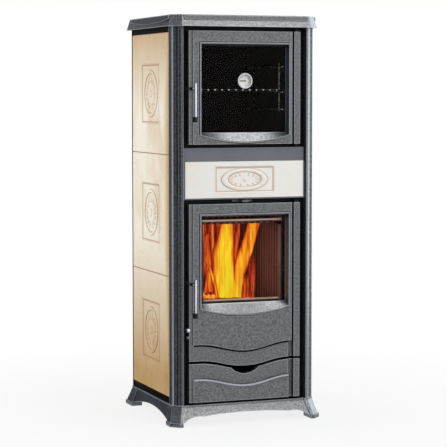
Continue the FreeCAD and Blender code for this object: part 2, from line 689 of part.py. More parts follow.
def front_frame():
    """The black sheet behind the doors, with mouths, latch slots, lever slot and rod holes."""
    body = new_body("front_frame")
    facing(body, FRAME_FRONT, FRAME_BACK,
           rectangle(-POST_INNER, POST_INNER, S.base_height, TOP_UNDER))
    floor = S.base_height + S.sheet
    mouths = [(DRAWER_MOUTH_HALF, floor, DRAWER_END),
              (ASH_MOUTH_HALF, SHELF_TOP, ASH_MOUTH_TOP),
              (FIRE_MOUTH_HALF, FIRE_MOUTH_BOTTOM, FIRE_MOUTH_TOP),
              (OVEN_MOUTH_HALF, OVEN_MOUTH_BOTTOM, OVEN_MOUTH_TOP)]
    loops = [rectangle(-half, half, low, high) for half, low, high in mouths]
    for hub in (OVEN_HUB_Z, FIRE_HUB_Z):
        loops.append(rectangle(-HUB_X - S.latch_slot_width / 2, -HUB_X + S.latch_slot_width / 2,
                               hub - S.latch_slot_reach, hub + S.latch_slot_reach))
    lever_half = S.lever_height / 2 + S.fit_gap
    loops.append(rectangle(-S.lever_slot_width / 2, S.lever_slot_width / 2, LEVER_Z - lever_half,
                           LEVER_Z + lever_half))
    for knob in (AIR_KNOB_Z, GRATE_KNOB_Z):
        loops.append(Round(-CONTROL_X, knob, S.control_rod + S.rod_play))
    carve(body, FRAME_FRONT, FRAME_BACK, *loops)


def tile_tray():
    """The tray of the front tile, closed above by the smooth middle band."""
    low = FRONT_TILE_BOTTOM - S.fit_gap - S.tray_lip
    side = FRONT_TILE_HALF + S.fit_gap
    front = FRONT + S.tray_setback
    back_front = FRAME_FRONT - S.tray_sheet
    band = POST_INNER - S.band_gap
    pieces = [block("tray_back", -TRAY_HALF, TRAY_HALF, back_front, FRAME_FRONT, low, BAND_BOTTOM),
              block("tray_floor", -TRAY_HALF, TRAY_HALF, front, FRAME_FRONT, low, low + S.tray_lip),
              block("tray_left", -TRAY_HALF, -side, front, FRAME_FRONT, low, BAND_BOTTOM),
              block("tray_right", side, TRAY_HALF, front, FRAME_FRONT, low, BAND_BOTTOM),
              block("middle_band", -band, band, FRONT + S.band_setback, FRAME_FRONT,
                    BAND_BOTTOM, BAND_TOP)]
    node(fused("tray_fused", pieces), "tile_tray")


def front_tile():
    body = new_body("front_tile")
    front = FRONT + S.front_tile_setback
    back = FRAME_FRONT - S.tray_sheet - S.fit_gap
    facing(body, front, back, rectangle(-FRONT_TILE_HALF, FRONT_TILE_HALF, FRONT_TILE_BOTTOM,
                                        FRONT_TILE_TOP))
    middle = (ZERO, (FRONT_TILE_BOTTOM + FRONT_TILE_TOP) / 2)
    half_across = FRONT_TILE_HALF - S.front_relief_side
    half_up = (FRONT_TILE_TOP - FRONT_TILE_BOTTOM) / 2 - S.front_relief_end
    relief(body, "XZ_Plane", -front, False, middle, half_across, half_up,
           (half_across - S.front_gap_across, half_up - S.front_gap_up))


def sunk_glass_cut(body, bottom, top, end_drop):
    """Cut the glass opening: bevelled sides and a crescent sill that falls to the front."""
    half = GLASS_HALF
    inner = half - S.glass_bevel
    sill = bottom - end_drop
    front_loop = [(-half, top), (-half, sill), Through(ZERO, sill - S.sill_sag), (half, sill), (half, top)]
    back_loop = [(-inner, top - S.glass_bevel), (-inner, bottom), Through(ZERO, bottom - S.fit_gap),
                 (inner, bottom), (inner, top - S.glass_bevel)]
    front_plane = PANEL_FRONT - S.bead_proud
    glass_plane = FRONT + S.glass_setback
    front = sketch(body, "XZ_Plane", -front_plane, front_loop)
    back = sketch(body, "XZ_Plane", -glass_plane, back_loop)
    opening = body.newObject("PartDesign::SubtractiveLoft", body.Name + "Opening")
    opening.Profile = front
    opening.Sections = [back]
    opening.Ruled = True
    lap = inner + S.glass_lap
    carve(body, glass_plane, DOOR_BACK,
          rectangle(-lap, lap, bottom - S.glass_lap, top - S.glass_bevel + S.glass_lap))


def door_bores(body, bottom, top, hub_z):
    """Hinge pin bores at both ends of the stile and the bore of the handle shaft."""
    radius = S.pin_radius + S.pin_play
    depth = S.pin_seat + S.fit_gap
    hollow(body, top - depth, top, Round(HINGE_X, HINGE_Y, radius))
    lower = sketch(body, "XY_Plane", bottom, Round(HINGE_X, HINGE_Y, radius))
    pocket(body, lower, depth, backwards=True)
    carve(body, PANEL_FRONT, DOOR_BACK, Round(-HUB_X, hub_z, S.shaft_radius + S.pin_play))


def stile_groove(body, bottom, top, width):
    """The upright groove between the raised panel and the hinge stile."""
    right = PANEL_RIGHT + S.stile_groove
    carve(body, PANEL_FRONT - S.bead_proud, DOOR_FRONT + S.stile_groove_depth,
          rectangle(right - width, right, bottom, top))


def glass_bead(body, sill, top):
    """A flat bead and a fine groove all round the glass opening, which follow the crescent sill below."""

    def outline(grown):
        edge = GLASS_HALF + grown
        low = sill - S.sill_sag - grown
        return [(-edge, top + grown), (-edge, sill), Through(ZERO, low), (edge, sill), (edge, top + grown)]

    bead = outline(S.bead_width)
    facing(body, PANEL_FRONT - S.bead_proud, PANEL_FRONT, bead)
    groove = outline(S.bead_width + S.bead_groove)
    carve(body, PANEL_FRONT, PANEL_FRONT + S.bead_groove_depth, groove, bead)


def oven_door():
    body = new_body("oven_door_frame")
    low, high = OVEN_DOOR_BOTTOM, OVEN_DOOR_TOP
    facing(body, DOOR_FRONT, DOOR_BACK, rectangle(-DOOR_HALF, DOOR_HALF, low, high))
    facing(body, PANEL_FRONT, DOOR_FRONT, rectangle(-PANEL_LEFT, PANEL_RIGHT, low, high))
    glass_bead(body, OVEN_GLASS_BOTTOM - S.sill_end_drop, OVEN_GLASS_TOP)
    sunk_glass_cut(body, OVEN_GLASS_BOTTOM, OVEN_GLASS_TOP, S.sill_end_drop)
    stile_groove(body, low, high, S.stile_groove)
    door_bores(body, low, high, OVEN_HUB_Z)


def fire_door():
    """The tall door: glass with a crescent sill, a raised panel with a wavy foot, a wavy lower edge."""
    body = new_body("fire_door_frame")
    low, high = FIRE_DOOR_BOTTOM, FIRE_DOOR_TOP
    edge = wave(WAVE_HALF, low, S.fire_wave_sag)
    outline = [(-DOOR_HALF, high), (-DOOR_HALF, low), *edge, (DOOR_HALF, low), (DOOR_HALF, high)]
    facing(body, DOOR_FRONT, DOOR_BACK, outline)
    band = wave(WAVE_HALF, FIRE_BAND_END, S.fire_band_sag)
    panel = [(-PANEL_LEFT, high), (-PANEL_LEFT, FIRE_BAND_END), *band,
             (PANEL_RIGHT, FIRE_BAND_END), (PANEL_RIGHT, high)]
    facing(body, PANEL_FRONT, DOOR_FRONT, panel)
    carve(body, DOOR_FRONT, DOOR_FRONT + S.wave_groove_depth,
          ribbon(FIRE_BAND_END, S.fire_band_sag, S.wave_groove))
    end_drop = S.sill_end_drop + S.sill_end_extra
    glass_bead(body, FIRE_GLASS_BOTTOM - end_drop, FIRE_GLASS_TOP)
    sunk_glass_cut(body, FIRE_GLASS_BOTTOM, FIRE_GLASS_TOP, end_drop)
    stile_groove(body, FIRE_BAND_END, high, S.stile_groove)
    stile_groove(body, low, FIRE_BAND_END, S.low_groove)
    half = PANEL_RIGHT - S.door_hollow_side
    back = sketch(body, "XZ_Plane", -DOOR_BACK,
                  rectangle(-half, half, FIRE_BAND_END + S.door_hollow_foot,
                            FIRE_GLASS_BOTTOM - S.door_hollow_head))
    pocket(body, back, S.door_hollow_depth, backwards=True)
    door_bores(body, low, high, FIRE_HUB_Z)


def door_glass(label, bottom, top, hole_z=None):
    """The pane in its rebate, with a hole for the thermometer stem where there is one."""
    body = new_body(label)
    half = GLASS_HALF - S.glass_bevel + S.glass_lap - S.fit_gap
    low = bottom - S.glass_lap + S.fit_gap
    high = top - S.glass_bevel + S.glass_lap - S.fit_gap
    loops = [rectangle(-half, half, low, high)]
    if hole_z is not None:
        loops.append(Round(ZERO, hole_z, S.stem_radius + S.fit_gap))
    front = FRONT + S.glass_setback
    facing(body, front, front + S.glass_thickness, *loops)


def glass_clips(label, bottom, top):
    """Six flat clips behind the door that hold the pane, three on each side."""
    height = top - bottom
    inner = GLASS_HALF - S.clip_lap
    outer = inner + S.clip_width
    clips = []
    for side in (-1, 1):
        left, right = (inner, outer) if side > 0 else (-outer, -inner)
        for number, clip_share in enumerate(CLIP_SHARES):
            middle = bottom + height * clip_share
            name = f"{label}_{'right' if side > 0 else 'left'}_{number}"
            clips.append(block(name, left, right, DOOR_BACK, DOOR_BACK + S.clip_thickness,
                               middle - S.clip_length / 2, middle + S.clip_length / 2))
    node(group(label + "_group", clips), label)


def door_rope(label, bottom, top):
    """The rope seal, a ring between the back of the door and the front frame."""
    body = new_body(label)
    inner = DOOR_HALF - S.rope_inset
    outer = inner + S.rope_width
    facing(body, DOOR_BACK, FRAME_FRONT - S.fit_gap,
           rectangle(-outer, outer, bottom, top),
           rectangle(-inner, inner, bottom + S.rope_width, top - S.rope_width))


def handle(prefix, hub_z):
    """Lever on a shaft through the door, black tip below, latch bar behind the front frame."""
    grip_y = FRONT - S.handle_reach + S.tip_radius
    latch_front = FRAME_BACK + S.latch_gap
    latch_back = latch_front + S.latch_thickness
    seat_y = PANEL_FRONT - S.fit_gap
    tip_low = hub_z - S.grip_below
    half_tip = S.tip_length / 2
    shaft = rod(prefix + "_shaft", S.shaft_radius, "Y", (-HUB_X, grip_y, hub_z), latch_back - grip_y)
    hub_y = grip_y + S.grip_radius
    hub = rod(prefix + "_hub", S.hub_radius, "Y", (-HUB_X, hub_y, hub_z), seat_y - hub_y)
    grip = rod(prefix + "_grip", S.grip_radius, "Z", (-HUB_X, grip_y, tip_low + half_tip),
               S.grip_above + S.grip_below - half_tip)
    node(fused(prefix + "_lever_fused", [shaft, hub, grip]), prefix + "_lever")
    sleeve = rod(prefix + "_sleeve", S.tip_radius, "Z", (-HUB_X, grip_y, tip_low), S.tip_length)
    bore = rod(prefix + "_sleeve_bore", S.grip_radius, "Z", (-HUB_X, grip_y, tip_low + half_tip),
               S.tip_length)
    node(less(prefix + "_tip_cut", sleeve, [bore]), prefix + "_tip")
    bar = block(prefix + "_bar", -HUB_X - S.latch_reach, -HUB_X + S.latch_reach, latch_front, latch_back,
                hub_z - S.latch_width / 2, hub_z + S.latch_width / 2)
    hole = rod(prefix + "_bar_hole", S.shaft_radius, "Y", (-HUB_X, FRAME_BACK, hub_z),
               latch_back + S.cut_overrun - FRAME_BACK)
    node(less(prefix + "_latch_cut", bar, [hole]), prefix + "_latch")


def tray(name, half, front, back, low, high, wall):
    """An open box of sheet."""
    outer = block(name + "_outer", -half, half, front, back, low, high)
    inner = block(name + "_inner", -half + wall, half - wall, front + wall, back - wall, low + wall,
                  high + S.cut_overrun)
    return less(name + "_tray", outer, [inner])


def drawer():
    """The drawer front with its wavy top, finger dip and beaded band, and the box behind it."""
    body = new_body("drawer_front")
    low, end = DRAWER_BOTTOM, DRAWER_END
    facing(body, DOOR_FRONT, DOOR_BACK,
           [(-DOOR_HALF, low), (DOOR_HALF, low), (DOOR_HALF, end),
            *reversed(wave(WAVE_HALF, end, S.drawer_sag)), (-DOOR_HALF, end)])
    band_end = low + S.drawer_band_rise
    band = wave(WAVE_HALF, band_end, S.drawer_band_sag)
    facing(body, PANEL_FRONT, DOOR_FRONT,
           [(PANEL_RIGHT, low), (-PANEL_LEFT, low), (-PANEL_LEFT, band_end), *band, (PANEL_RIGHT, band_end)])
    facing(body, PANEL_FRONT - S.bead_proud, PANEL_FRONT, ribbon(band_end, S.drawer_band_sag, S.bead_width))
    shoulder_z = end - S.drawer_sag + S.grip_shoulder
    dip_z = end - S.drawer_sag - S.grip_drop
    carve(body, DOOR_FRONT, DOOR_BACK,
          [(-S.grip_width / 2, shoulder_z), Through(ZERO, dip_z), (S.grip_width / 2, shoulder_z)])
    stile_groove(body, low, end, S.low_groove)
    floor = S.base_height + S.sheet + S.fit_gap
    node(tray("drawer", DRAWER_MOUTH_HALF - S.drawer_box_gap, DOOR_BACK, REAR - S.drawer_rear_gap, floor,
              end - S.drawer_box_drop, S.drawer_sheet), "drawer_box")


def hinges():
    """Four brackets on the front frame and four pins that stand in them and in the door stiles."""
    brackets, pins = [], []
    half = S.bracket_width / 2
    for name, low, high in (("oven", OVEN_DOOR_BOTTOM, OVEN_DOOR_TOP),
                            ("fire", FIRE_DOOR_BOTTOM, FIRE_DOOR_TOP)):
        for place in ("upper", "lower"):
            upper = place == "upper"
            bottom = high + S.bracket_gap if upper else low - S.bracket_gap - S.bracket_height
            pin_low = high - S.pin_seat if upper else bottom
            length = S.pin_seat + S.bracket_gap + S.bracket_height
            pin = rod(f"{name}_{place}_pin", S.pin_radius, "Z", (HINGE_X, HINGE_Y, pin_low), length)
            plate = block(f"{name}_{place}_plate", HINGE_X - half, HINGE_X + half, FRONT + S.bracket_setback,
                          FRAME_FRONT, bottom, bottom + S.bracket_height)
            eye = rod(f"{name}_{place}_eye", S.pin_radius, "Z", (HINGE_X, HINGE_Y, bottom),
                      S.bracket_height)
            brackets.append(less(f"{name}_{place}_bracket", plate, [eye]))
            pins.append(pin)
    node(group("bracket_group", brackets), "hinge_brackets")
    node(group("pin_group", pins), "hinge_pins")


def sheets():
    """Bottom plate, ash shelf, rear panel with the flue hole, and the flue collar."""
    inside = FRONT + S.post_depth
    node(block("bottom_sheet", -LINER_X, LINER_X, inside, REAR_SHEET_FRONT, S.base_height,
               S.base_height + S.sheet), "bottom_plate")
    node(block("shelf_sheet", -POST_INNER, POST_INNER, FRAME_BACK, REAR_SHEET_FRONT,
               SHELF_TOP - S.sheet, SHELF_TOP), "ash_shelf")
    wall = block("rear_sheet", -LINER_X, LINER_X, REAR_SHEET_FRONT, REAR_SHEET_BACK, S.base_height, TOP_UNDER)
    outer = S.flue_bore + S.flue_wall
    hole = rod("rear_hole", outer, "Y", (ZERO, REAR_SHEET_FRONT, FLUE_Z), S.sheet)
    node(less("rear_cut", wall, [hole]), "rear_panel")
    reach = REAR + S.flue_reach - REAR_SHEET_BACK
    start = (ZERO, REAR_SHEET_BACK, FLUE_Z)
    pipe = rod("collar_pipe", outer, "Y", start, reach)
    flange = rod("collar_flange", outer + S.flue_flange, "Y", start, S.flue_flange_thickness)
    bore = rod("collar_bore", S.flue_bore, "Y", start, reach)
    node(less("collar_cut", fused("collar_solid", [pipe, flange]), [bore]), "flue_collar")


def oven():
    """The sheet liner, the wire rails on its walls and the rack that lies on them."""
    half = OVEN_MOUTH_HALF
    wall = S.oven_sheet
    shell = block("oven_outer", -half - wall, half + wall, FRAME_BACK, OVEN_BACK, OVEN_MOUTH_BOTTOM - wall,
                  OVEN_MOUTH_TOP + wall)
    room = block("oven_room", -half, half, FRAME_BACK, OVEN_BACK - wall, OVEN_MOUTH_BOTTOM, OVEN_MOUTH_TOP)
    node(less("oven_cut", shell, [room]), "oven_liner")
    rail_low = OVEN_MOUTH_BOTTOM + S.rail_foot
    rail_high = rail_low + S.rail_height
    rack_level = rail_low + S.rack_rise
    rung_y = FRAME_BACK + S.rung_front_gap
    rung_length = OVEN_BACK - S.rung_rear_gap - rung_y
    uprights = (("front", FRAME_BACK + S.rail_front_gap), ("back", OVEN_BACK - S.rail_rear_gap))
    rungs = (("low", rail_low + S.rail_end), ("rack", rack_level), ("high", rail_high - S.rail_end))
    rails = []
    for name, side in (("left", -1), ("right", 1)):
        upright_x = (half - S.rail_wire) * side
        rung_x = (half - S.rail_wire * 2) * side
        wires = [rod(f"{name}_{place}_upright", S.rail_wire, "Z", (upright_x, y, rail_low), S.rail_height)
                 for place, y in uprights]
        wires += [rod(f"{name}_{level}_rung", S.rail_wire, "Y", (rung_x, rung_y, z - S.rail_wire),
                      rung_length) for level, z in rungs]
        rails.append(fused(f"{name}_rail", wires))
    node(group("rail_group", rails), "rack_rails")
    bar_z = rack_level + S.fit_gap + S.rack_bar
    bar_half = half - S.rail_wire * 2 - S.fit_gap
    rack_front = FRAME_BACK + S.rack_front_gap
    rack_back = OVEN_BACK - S.rack_rear_gap
    wires = [rod(f"rack_{place}_bar", S.rack_bar, "X", (-bar_half, y, bar_z), bar_half * 2)
             for place, y in (("front", rack_front), ("back", rack_back))]
    rods = round(2 * float(half - S.rack_rod_margin) / float(S.rack_rod_pitch)) + 1
    for number in range(rods):
        x = S.rack_rod_pitch * (number - (rods - 1) / 2)
        wires.append(rod(f"rack_rod_{number}", S.rack_wire, "Y", (x, rack_front, bar_z + S.rack_wire),
                         rack_back - rack_front))
    node(fused("rack_fused", wires), "oven_rack")


def thermometer():
    """A deep round case on the oven glass, its dial sunk in, a stem through the pane and a needle."""
    back = FRONT + S.glass_setback
    front = back - S.case_depth
    middle = (ZERO, back, DIAL_Z)
    start = (ZERO, front, DIAL_Z)
    dial_y = front + S.dial_recess
    solid = fused("case_solid", [rod("case_body", S.case_radius, "Y", start, S.case_depth),
                                 rod("case_stem", S.stem_radius, "Y", middle, S.stem_length)])
    well = rod("case_well", S.case_radius - S.case_wall, "Y", start, S.dial_recess)
    hole = rod("case_hole", S.needle_pin + S.pin_play, "Y", (ZERO, dial_y, DIAL_Z),
               (S.case_depth - S.dial_recess) / 2)
    node(less("case_cut", solid, [well, hole]), "thermometer_case")
    pin_length = (S.case_depth - S.dial_recess) / 2 - S.fit_gap + S.needle_gap + S.needle_thickness
    needle_front = dial_y - S.needle_gap - S.needle_thickness
    hand = block("needle_hand", -S.needle_length, S.needle_tail, needle_front,
                 needle_front + S.needle_thickness, DIAL_Z - S.needle_width / 2, DIAL_Z + S.needle_width / 2)
    pin = rod("needle_axle", S.needle_pin, "Y", (ZERO, needle_front, DIAL_Z), pin_length)
    node(fused("needle_fused", [hand, pin]), "thermometer_needle")


def ribbed_lining(label, role, plane, start, end, low, high, thickness, backwards):
    """A cast lining plate with upright grooves at a steady pitch on its fire side."""
    body = new_body(label)
    pad(body, sketch(body, role, plane, rectangle(start, end, low, high)), thickness)
    groove_gap = S.rib_pitch - S.rib_width
    face = plane if backwards else plane + thickness
    strip = sketch(body, role, face, rectangle(start + groove_gap, start + S.rib_pitch, low, high))
    groove = pocket(body, strip, S.rib_depth, backwards)
    doc.recompute()
    run = end - start
    count = int((float(run) - float(groove_gap)) // float(S.rib_pitch))
    ribs = body.newObject("PartDesign::LinearPattern", label + "Ribs")
    ribs.Originals = [groove]
    ribs.Direction = (strip, ["H_Axis"])
    bind(ribs, "Length", S.rib_pitch * (count - 1))
    ribs.Occurrences = count
    body.Tip = ribs


def firebox():
    """Steel shell with hearth, ribbed cast linings, baffle, log guard and air-wash bar."""
    outer = FIRE_HALF + S.lining_thickness
    wall = S.sheet
    hearth_top = SHELL_BOTTOM + S.hearth
    inner_back = SHELL_BACK - wall
    shell = block("shell_outer", -outer - wall, outer + wall, FRAME_BACK, SHELL_BACK, SHELL_BOTTOM, SHELL_TOP)
    room = block("shell_room", -outer, outer, FRAME_BACK, inner_back, hearth_top, SHELL_TOP - wall)
    smoke_half = FIRE_HALF - S.smoke_hole_inset
    smoke = block("shell_smoke", -smoke_half, smoke_half, inner_back - S.smoke_hole_depth, inner_back,
                  SHELL_TOP - wall, SHELL_TOP)
    ash_half = GRATE_HALF - S.grate_ledge
    ash = block("shell_ash_hole", -ash_half, ash_half, GRATE_FRONT + S.grate_ledge,
                GRATE_BACK - S.grate_ledge, SHELL_BOTTOM, hearth_top)
    node(less("shell_cut", shell, [room, smoke, ash]), "firebox_shell")
    lining_y = FRAME_BACK + S.lining_front_gap
    back_y = inner_back - S.back_lining_thickness
    ribbed_lining("left_lining", "YZ_Plane", -outer, lining_y, inner_back, hearth_top, LINING_TOP,
                  S.lining_thickness, False)
    ribbed_lining("right_lining", "YZ_Plane", FIRE_HALF, lining_y, inner_back, hearth_top, LINING_TOP,
                  S.lining_thickness, True)
    ribbed_lining("back_lining", "XZ_Plane", -inner_back, -FIRE_HALF, FIRE_HALF, hearth_top, LINING_TOP,
                  S.back_lining_thickness, False)
    node(block("baffle_slab", -outer, outer, FRAME_BACK + S.baffle_front_gap,
               inner_back - S.smoke_hole_depth, LINING_TOP, LINING_TOP + S.baffle_thickness), "smoke_baffle")
    guard_y = FRAME_BACK + S.guard_gap
    node(block("guard_plate", -FIRE_HALF, FIRE_HALF, guard_y, guard_y + S.guard_thickness, hearth_top,
               FIRE_GLASS_BOTTOM + S.guard_rise), "log_guard")
    bar_y = FRAME_BACK + S.air_bar_gap
    bar_z = LINING_TOP + S.air_bar_rise
    node(block("air_bar", -outer, outer, bar_y, bar_y + S.air_bar_depth, bar_z, bar_z + S.air_bar_height),
         "air_wash_bar")


def grate():
    """The slotted grate and the cranked rod that shakes it from the front."""
    body = new_body("fire_grate")
    low = SHELL_BOTTOM + S.hearth + S.fit_gap
    loops = [rectangle(-GRATE_HALF, GRATE_HALF, GRATE_FRONT, GRATE_BACK)]
    slots = round(2 * float(GRATE_HALF - S.grate_slot_margin) / float(S.grate_slot_pitch)) + 1
    for number in range(slots):
        x = S.grate_slot_pitch * (number - (slots - 1) / 2)
        loops.append(rectangle(x - S.grate_slot / 2, x + S.grate_slot / 2, GRATE_FRONT + S.grate_slot_margin,
                               GRATE_BACK - S.grate_slot_margin))
    standing(body, low, low + S.grate_thickness, *loops)
    knob_y = FRONT - S.dark_knob_reach
    turn_y = (GRATE_FRONT + GRATE_BACK) / 2
    foot_x = S.grate_slot_pitch * (1 - slots / 2)
    z = GRATE_KNOB_Z
    wires = [ball("shaker_knob", S.dark_knob_radius, (-CONTROL_X, knob_y, z)),
             rod("shaker_pull", S.control_rod, "Y", (-CONTROL_X, knob_y, z), turn_y - knob_y),
             ball("shaker_corner", S.control_rod, (-CONTROL_X, turn_y, z)),
             rod("shaker_cross", S.control_rod, "X", (-CONTROL_X, turn_y, z), CONTROL_X + foot_x),
             ball("shaker_elbow", S.control_rod, (foot_x, turn_y, z)),
             rod("shaker_foot", S.control_rod, "Z", (foot_x, turn_y, z), low - z)]
    node(fused("shaker_fused", wires), "grate_rod")


def ash_pan():
    """A sheet pan on the shelf with a bent lip to pull it by."""
    low = SHELF_TOP + S.fit_gap
    front = FRAME_BACK + S.pan_front_gap
    pan = tray("pan", ASH_MOUTH_HALF - S.pan_side_gap, front, REAR - S.pan_rear_gap, low,
               ASH_MOUTH_TOP - S.pan_top_gap, S.pan_sheet)
    lip_half = S.pan_lip_width / 2
    lip_low = low + S.pan_lip_height
    lip_front = front - S.pan_lip
    lip = block("pan_lip_plate", -lip_half, lip_half, lip_front, front, lip_low, lip_low + S.pan_sheet)
    edge = block("pan_lip_edge", -lip_half, lip_half, lip_front, lip_front + S.pan_sheet,
                 lip_low - S.pan_lip, lip_low)
    node(fused("pan_fused", [pan, lip, edge]), "ash_pan")


def air_controls():
    """The ball-knob rod with its valve disc, and the sliding lever with its register plate."""
    knob_y = FRONT - S.knob_reach
    back = FRAME_BACK + S.air_rod_length
    place = (-CONTROL_X, knob_y, AIR_KNOB_Z)
    disc = rod("air_disc", S.air_disc_radius, "Y", (-CONTROL_X, back, AIR_KNOB_Z), S.air_disc_thickness)
    pull = rod("air_pull", S.control_rod, "Y", place, back + S.air_disc_thickness - knob_y)
    node(fused("air_fused", [ball("air_ball", S.knob_radius, place), pull, disc]), "primary_air_rod")
    low, high = LEVER_Z - S.lever_height / 2, LEVER_Z + S.lever_height / 2
    tab_front = FRONT + S.lever_tab_setback
    plate_front = FRAME_BACK + S.fit_gap
    tab_half = S.lever_tab_width / 2
    tab = block("lever_tab", -tab_half, tab_half, tab_front, tab_front + S.lever_tab_depth, low, high)
    arm = block("lever_arm", -S.lever_width / 2, S.lever_width / 2, tab_front, plate_front, low, high)
    plate = block("lever_plate", -S.register_width / 2, S.register_width / 2, plate_front,
                  plate_front + S.register_thickness, LEVER_Z - S.register_height / 2,
                  LEVER_Z + S.register_height / 2)
    node(fused("lever_fused", [tab, arm, plate]), "secondary_air_lever")


def build():
    for name, side in (("left", -1), ("right", 1)):
        foot(f"foot_front_{name}", side, FRONT, 1, S.foot_front_flare, S.foot_chamfer)
        foot(f"foot_rear_{name}", side, REAR, -1, S.rear_foot_flare, S.rear_foot_chamfer)
        front_post(f"front_{name}_post", side)
        rear_post(f"rear_{name}_post", side)
        inner_panel(f"{name}_inner_panel", side)
        for place, tile_name in enumerate(("lower", "middle", "upper")):
            side_tile(f"{name}_tile_{tile_name}", side, place)
    skirts = [front_skirt(), side_skirt("left_skirt", -1), side_skirt("right_skirt", 1)]
    node(group("skirt_group", skirts), "base_skirts")
    top_plate()
    sheets()
    front_frame()
    tile_tray()
    front_tile()
    hinges()
    oven_door()
    fire_door()
    door_glass("oven_door_glass", OVEN_GLASS_BOTTOM, OVEN_GLASS_TOP, DIAL_Z)
    door_glass("fire_door_glass", FIRE_GLASS_BOTTOM, FIRE_GLASS_TOP)
    glass_clips("oven_glass_clips", OVEN_GLASS_BOTTOM, OVEN_GLASS_TOP)
    glass_clips("fire_glass_clips", FIRE_GLASS_BOTTOM, FIRE_GLASS_TOP)
    door_rope("oven_door_rope", OVEN_DOOR_BOTTOM + S.rope_edge, OVEN_DOOR_TOP - S.rope_edge)
    door_rope("fire_door_rope", FIRE_DOOR_BOTTOM + S.rope_edge, FIRE_DOOR_TOP - S.rope_edge)
    thermometer()
    handle("oven_handle", OVEN_HUB_Z)
    handle("fire_handle", FIRE_HUB_Z)
    drawer()
    oven()
    firebox()
    grate()
    ash_pan()
    air_controls()


def write_parts():
    """Stop on any failed object, then write one file for each piece."""
    doc.recompute()
    failed = [item.Name for item in doc.Objects if {"Invalid", "Error"} & set(item.State)]
    broken = [item.Label for item in NODES if item.Shape.isNull() or not item.Shape.isValid()]
    if failed or broken:
        raise RuntimeError(f"failed objects {failed}, broken shapes {broken}")
    os.makedirs("parts", exist_ok=True)
    for item in NODES:
        item.Shape.exportStep(os.path.join("parts", item.Label + ".step"))
    print(len(NODES), "pieces written")


build()
write_parts()
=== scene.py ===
import json
import math

import bmesh
import bpy
import numpy as np
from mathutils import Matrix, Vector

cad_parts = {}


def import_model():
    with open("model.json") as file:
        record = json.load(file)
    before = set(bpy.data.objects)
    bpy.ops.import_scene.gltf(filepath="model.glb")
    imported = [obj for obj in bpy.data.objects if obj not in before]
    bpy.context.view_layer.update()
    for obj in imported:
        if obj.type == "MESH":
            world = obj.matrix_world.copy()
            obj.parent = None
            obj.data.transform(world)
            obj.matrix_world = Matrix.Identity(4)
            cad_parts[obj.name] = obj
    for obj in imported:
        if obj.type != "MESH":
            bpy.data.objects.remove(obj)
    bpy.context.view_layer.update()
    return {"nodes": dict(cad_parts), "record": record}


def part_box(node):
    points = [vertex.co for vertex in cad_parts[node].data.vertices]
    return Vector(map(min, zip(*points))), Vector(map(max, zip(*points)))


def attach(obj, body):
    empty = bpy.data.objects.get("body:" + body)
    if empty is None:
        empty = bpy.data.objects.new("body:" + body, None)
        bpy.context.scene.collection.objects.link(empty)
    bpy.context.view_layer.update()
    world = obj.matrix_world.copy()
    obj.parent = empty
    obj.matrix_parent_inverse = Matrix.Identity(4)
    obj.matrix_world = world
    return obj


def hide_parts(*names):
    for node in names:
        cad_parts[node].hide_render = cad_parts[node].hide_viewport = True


# Looks of a tall wood cookstove, in metres, in the frame of its solids: +Z up, doors towards -Y.

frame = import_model()

# Places that the frame gives
LOWER_TILE, MIDDLE_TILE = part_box("left_tile_lower"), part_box("left_tile_middle")
SIDE_X = -LOWER_TILE[0].x
TILE_PITCH = MIDDLE_TILE[0].z - LOWER_TILE[0].z
TILE_FOOT = LOWER_TILE[0].z - (MIDDLE_TILE[0].z - LOWER_TILE[1].z) / 2
FIRE_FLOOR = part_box("fire_grate")[1].z
FLUE_HEIGHT = (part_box("flue_collar")[0].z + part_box("flue_collar")[1].z) / 2

# Sizes that follow those of the solids
RELIEF_DEPTH = 0.0025
SIDE_FIELD, SIDE_OVAL = (0.090, 0.098), (0.070, 0.076)
FRONT_FIELD, FRONT_OVAL = (0.103, 0.043), (0.078, 0.035)
WAVE_HALF, WAVE_SAG = 0.160, 0.025
FIRE_WAVE_END, DRAWER_WAVE_END = 0.2570, 0.1455
DIAL_DEPTH, DIAL_RADIUS, DIAL_SWEEP = 0.009, 0.0207, math.radians(250)
ROD_PITCH, ROD_COUNT, ROD_RADIUS = 0.024, 12, 0.002
RUNG_RADIUS, RUNG_LOW, RUNG_RACK, RUNG_HIGH = 0.0025, 0.0075, 0.0635, 0.0125

# Sizes of marks in the finishes; a pair gives where a change begins and where it is complete
# Edge and rib reaches size painted highlights, hollows painted shade; wave, stripe and bar sizes place
# painted lines.
EDGE_HIGHLIGHT_REACH, RIB_HIGHLIGHT_REACH = 0.005, 0.002
HOLLOW, POST_HOLLOW, RIB_HOLLOW = 0.03, 0.006, 0.012
WAVE_LEFT, WAVE_RIGHT, WAVE_BLUR = (0.017, 0.016), (0.0078, 0.0072), 0.0008
GROOVE_HALF, BEAD_HALF = 0.0032, 0.0026
POST_DIAGONAL = (math.sqrt(0.5), -math.sqrt(0.5), 0.0)
STRIPE_PLACE, STRIPE_HALF, STRIPE_BLUR = 0.0288, 0.0018, 0.0006
WARM_FRONT, WARM_FOOT, WARM_HEAD = (-0.110, -0.168), (0.62, 0.14), (1.00, 1.26)
JOINT_SHARES = (0.0025, 0.0055)
RAIL_DARKENING = (-0.13, -0.06)
BAR_HIGHLIGHT_BAND = (0.0055, 0.0045)
HIGHLIGHT_LINE_PITCH = 0.022


def tint(red, green, blue):
    """A linear colour from screen values of 0 to 255."""
    screen = np.array([red, green, blue]) / 255
    linear = np.where(screen <= 0.04045, screen / 12.92, ((screen + 0.055) / 1.055) ** 2.4)
    return (*linear.tolist(), 1.0)


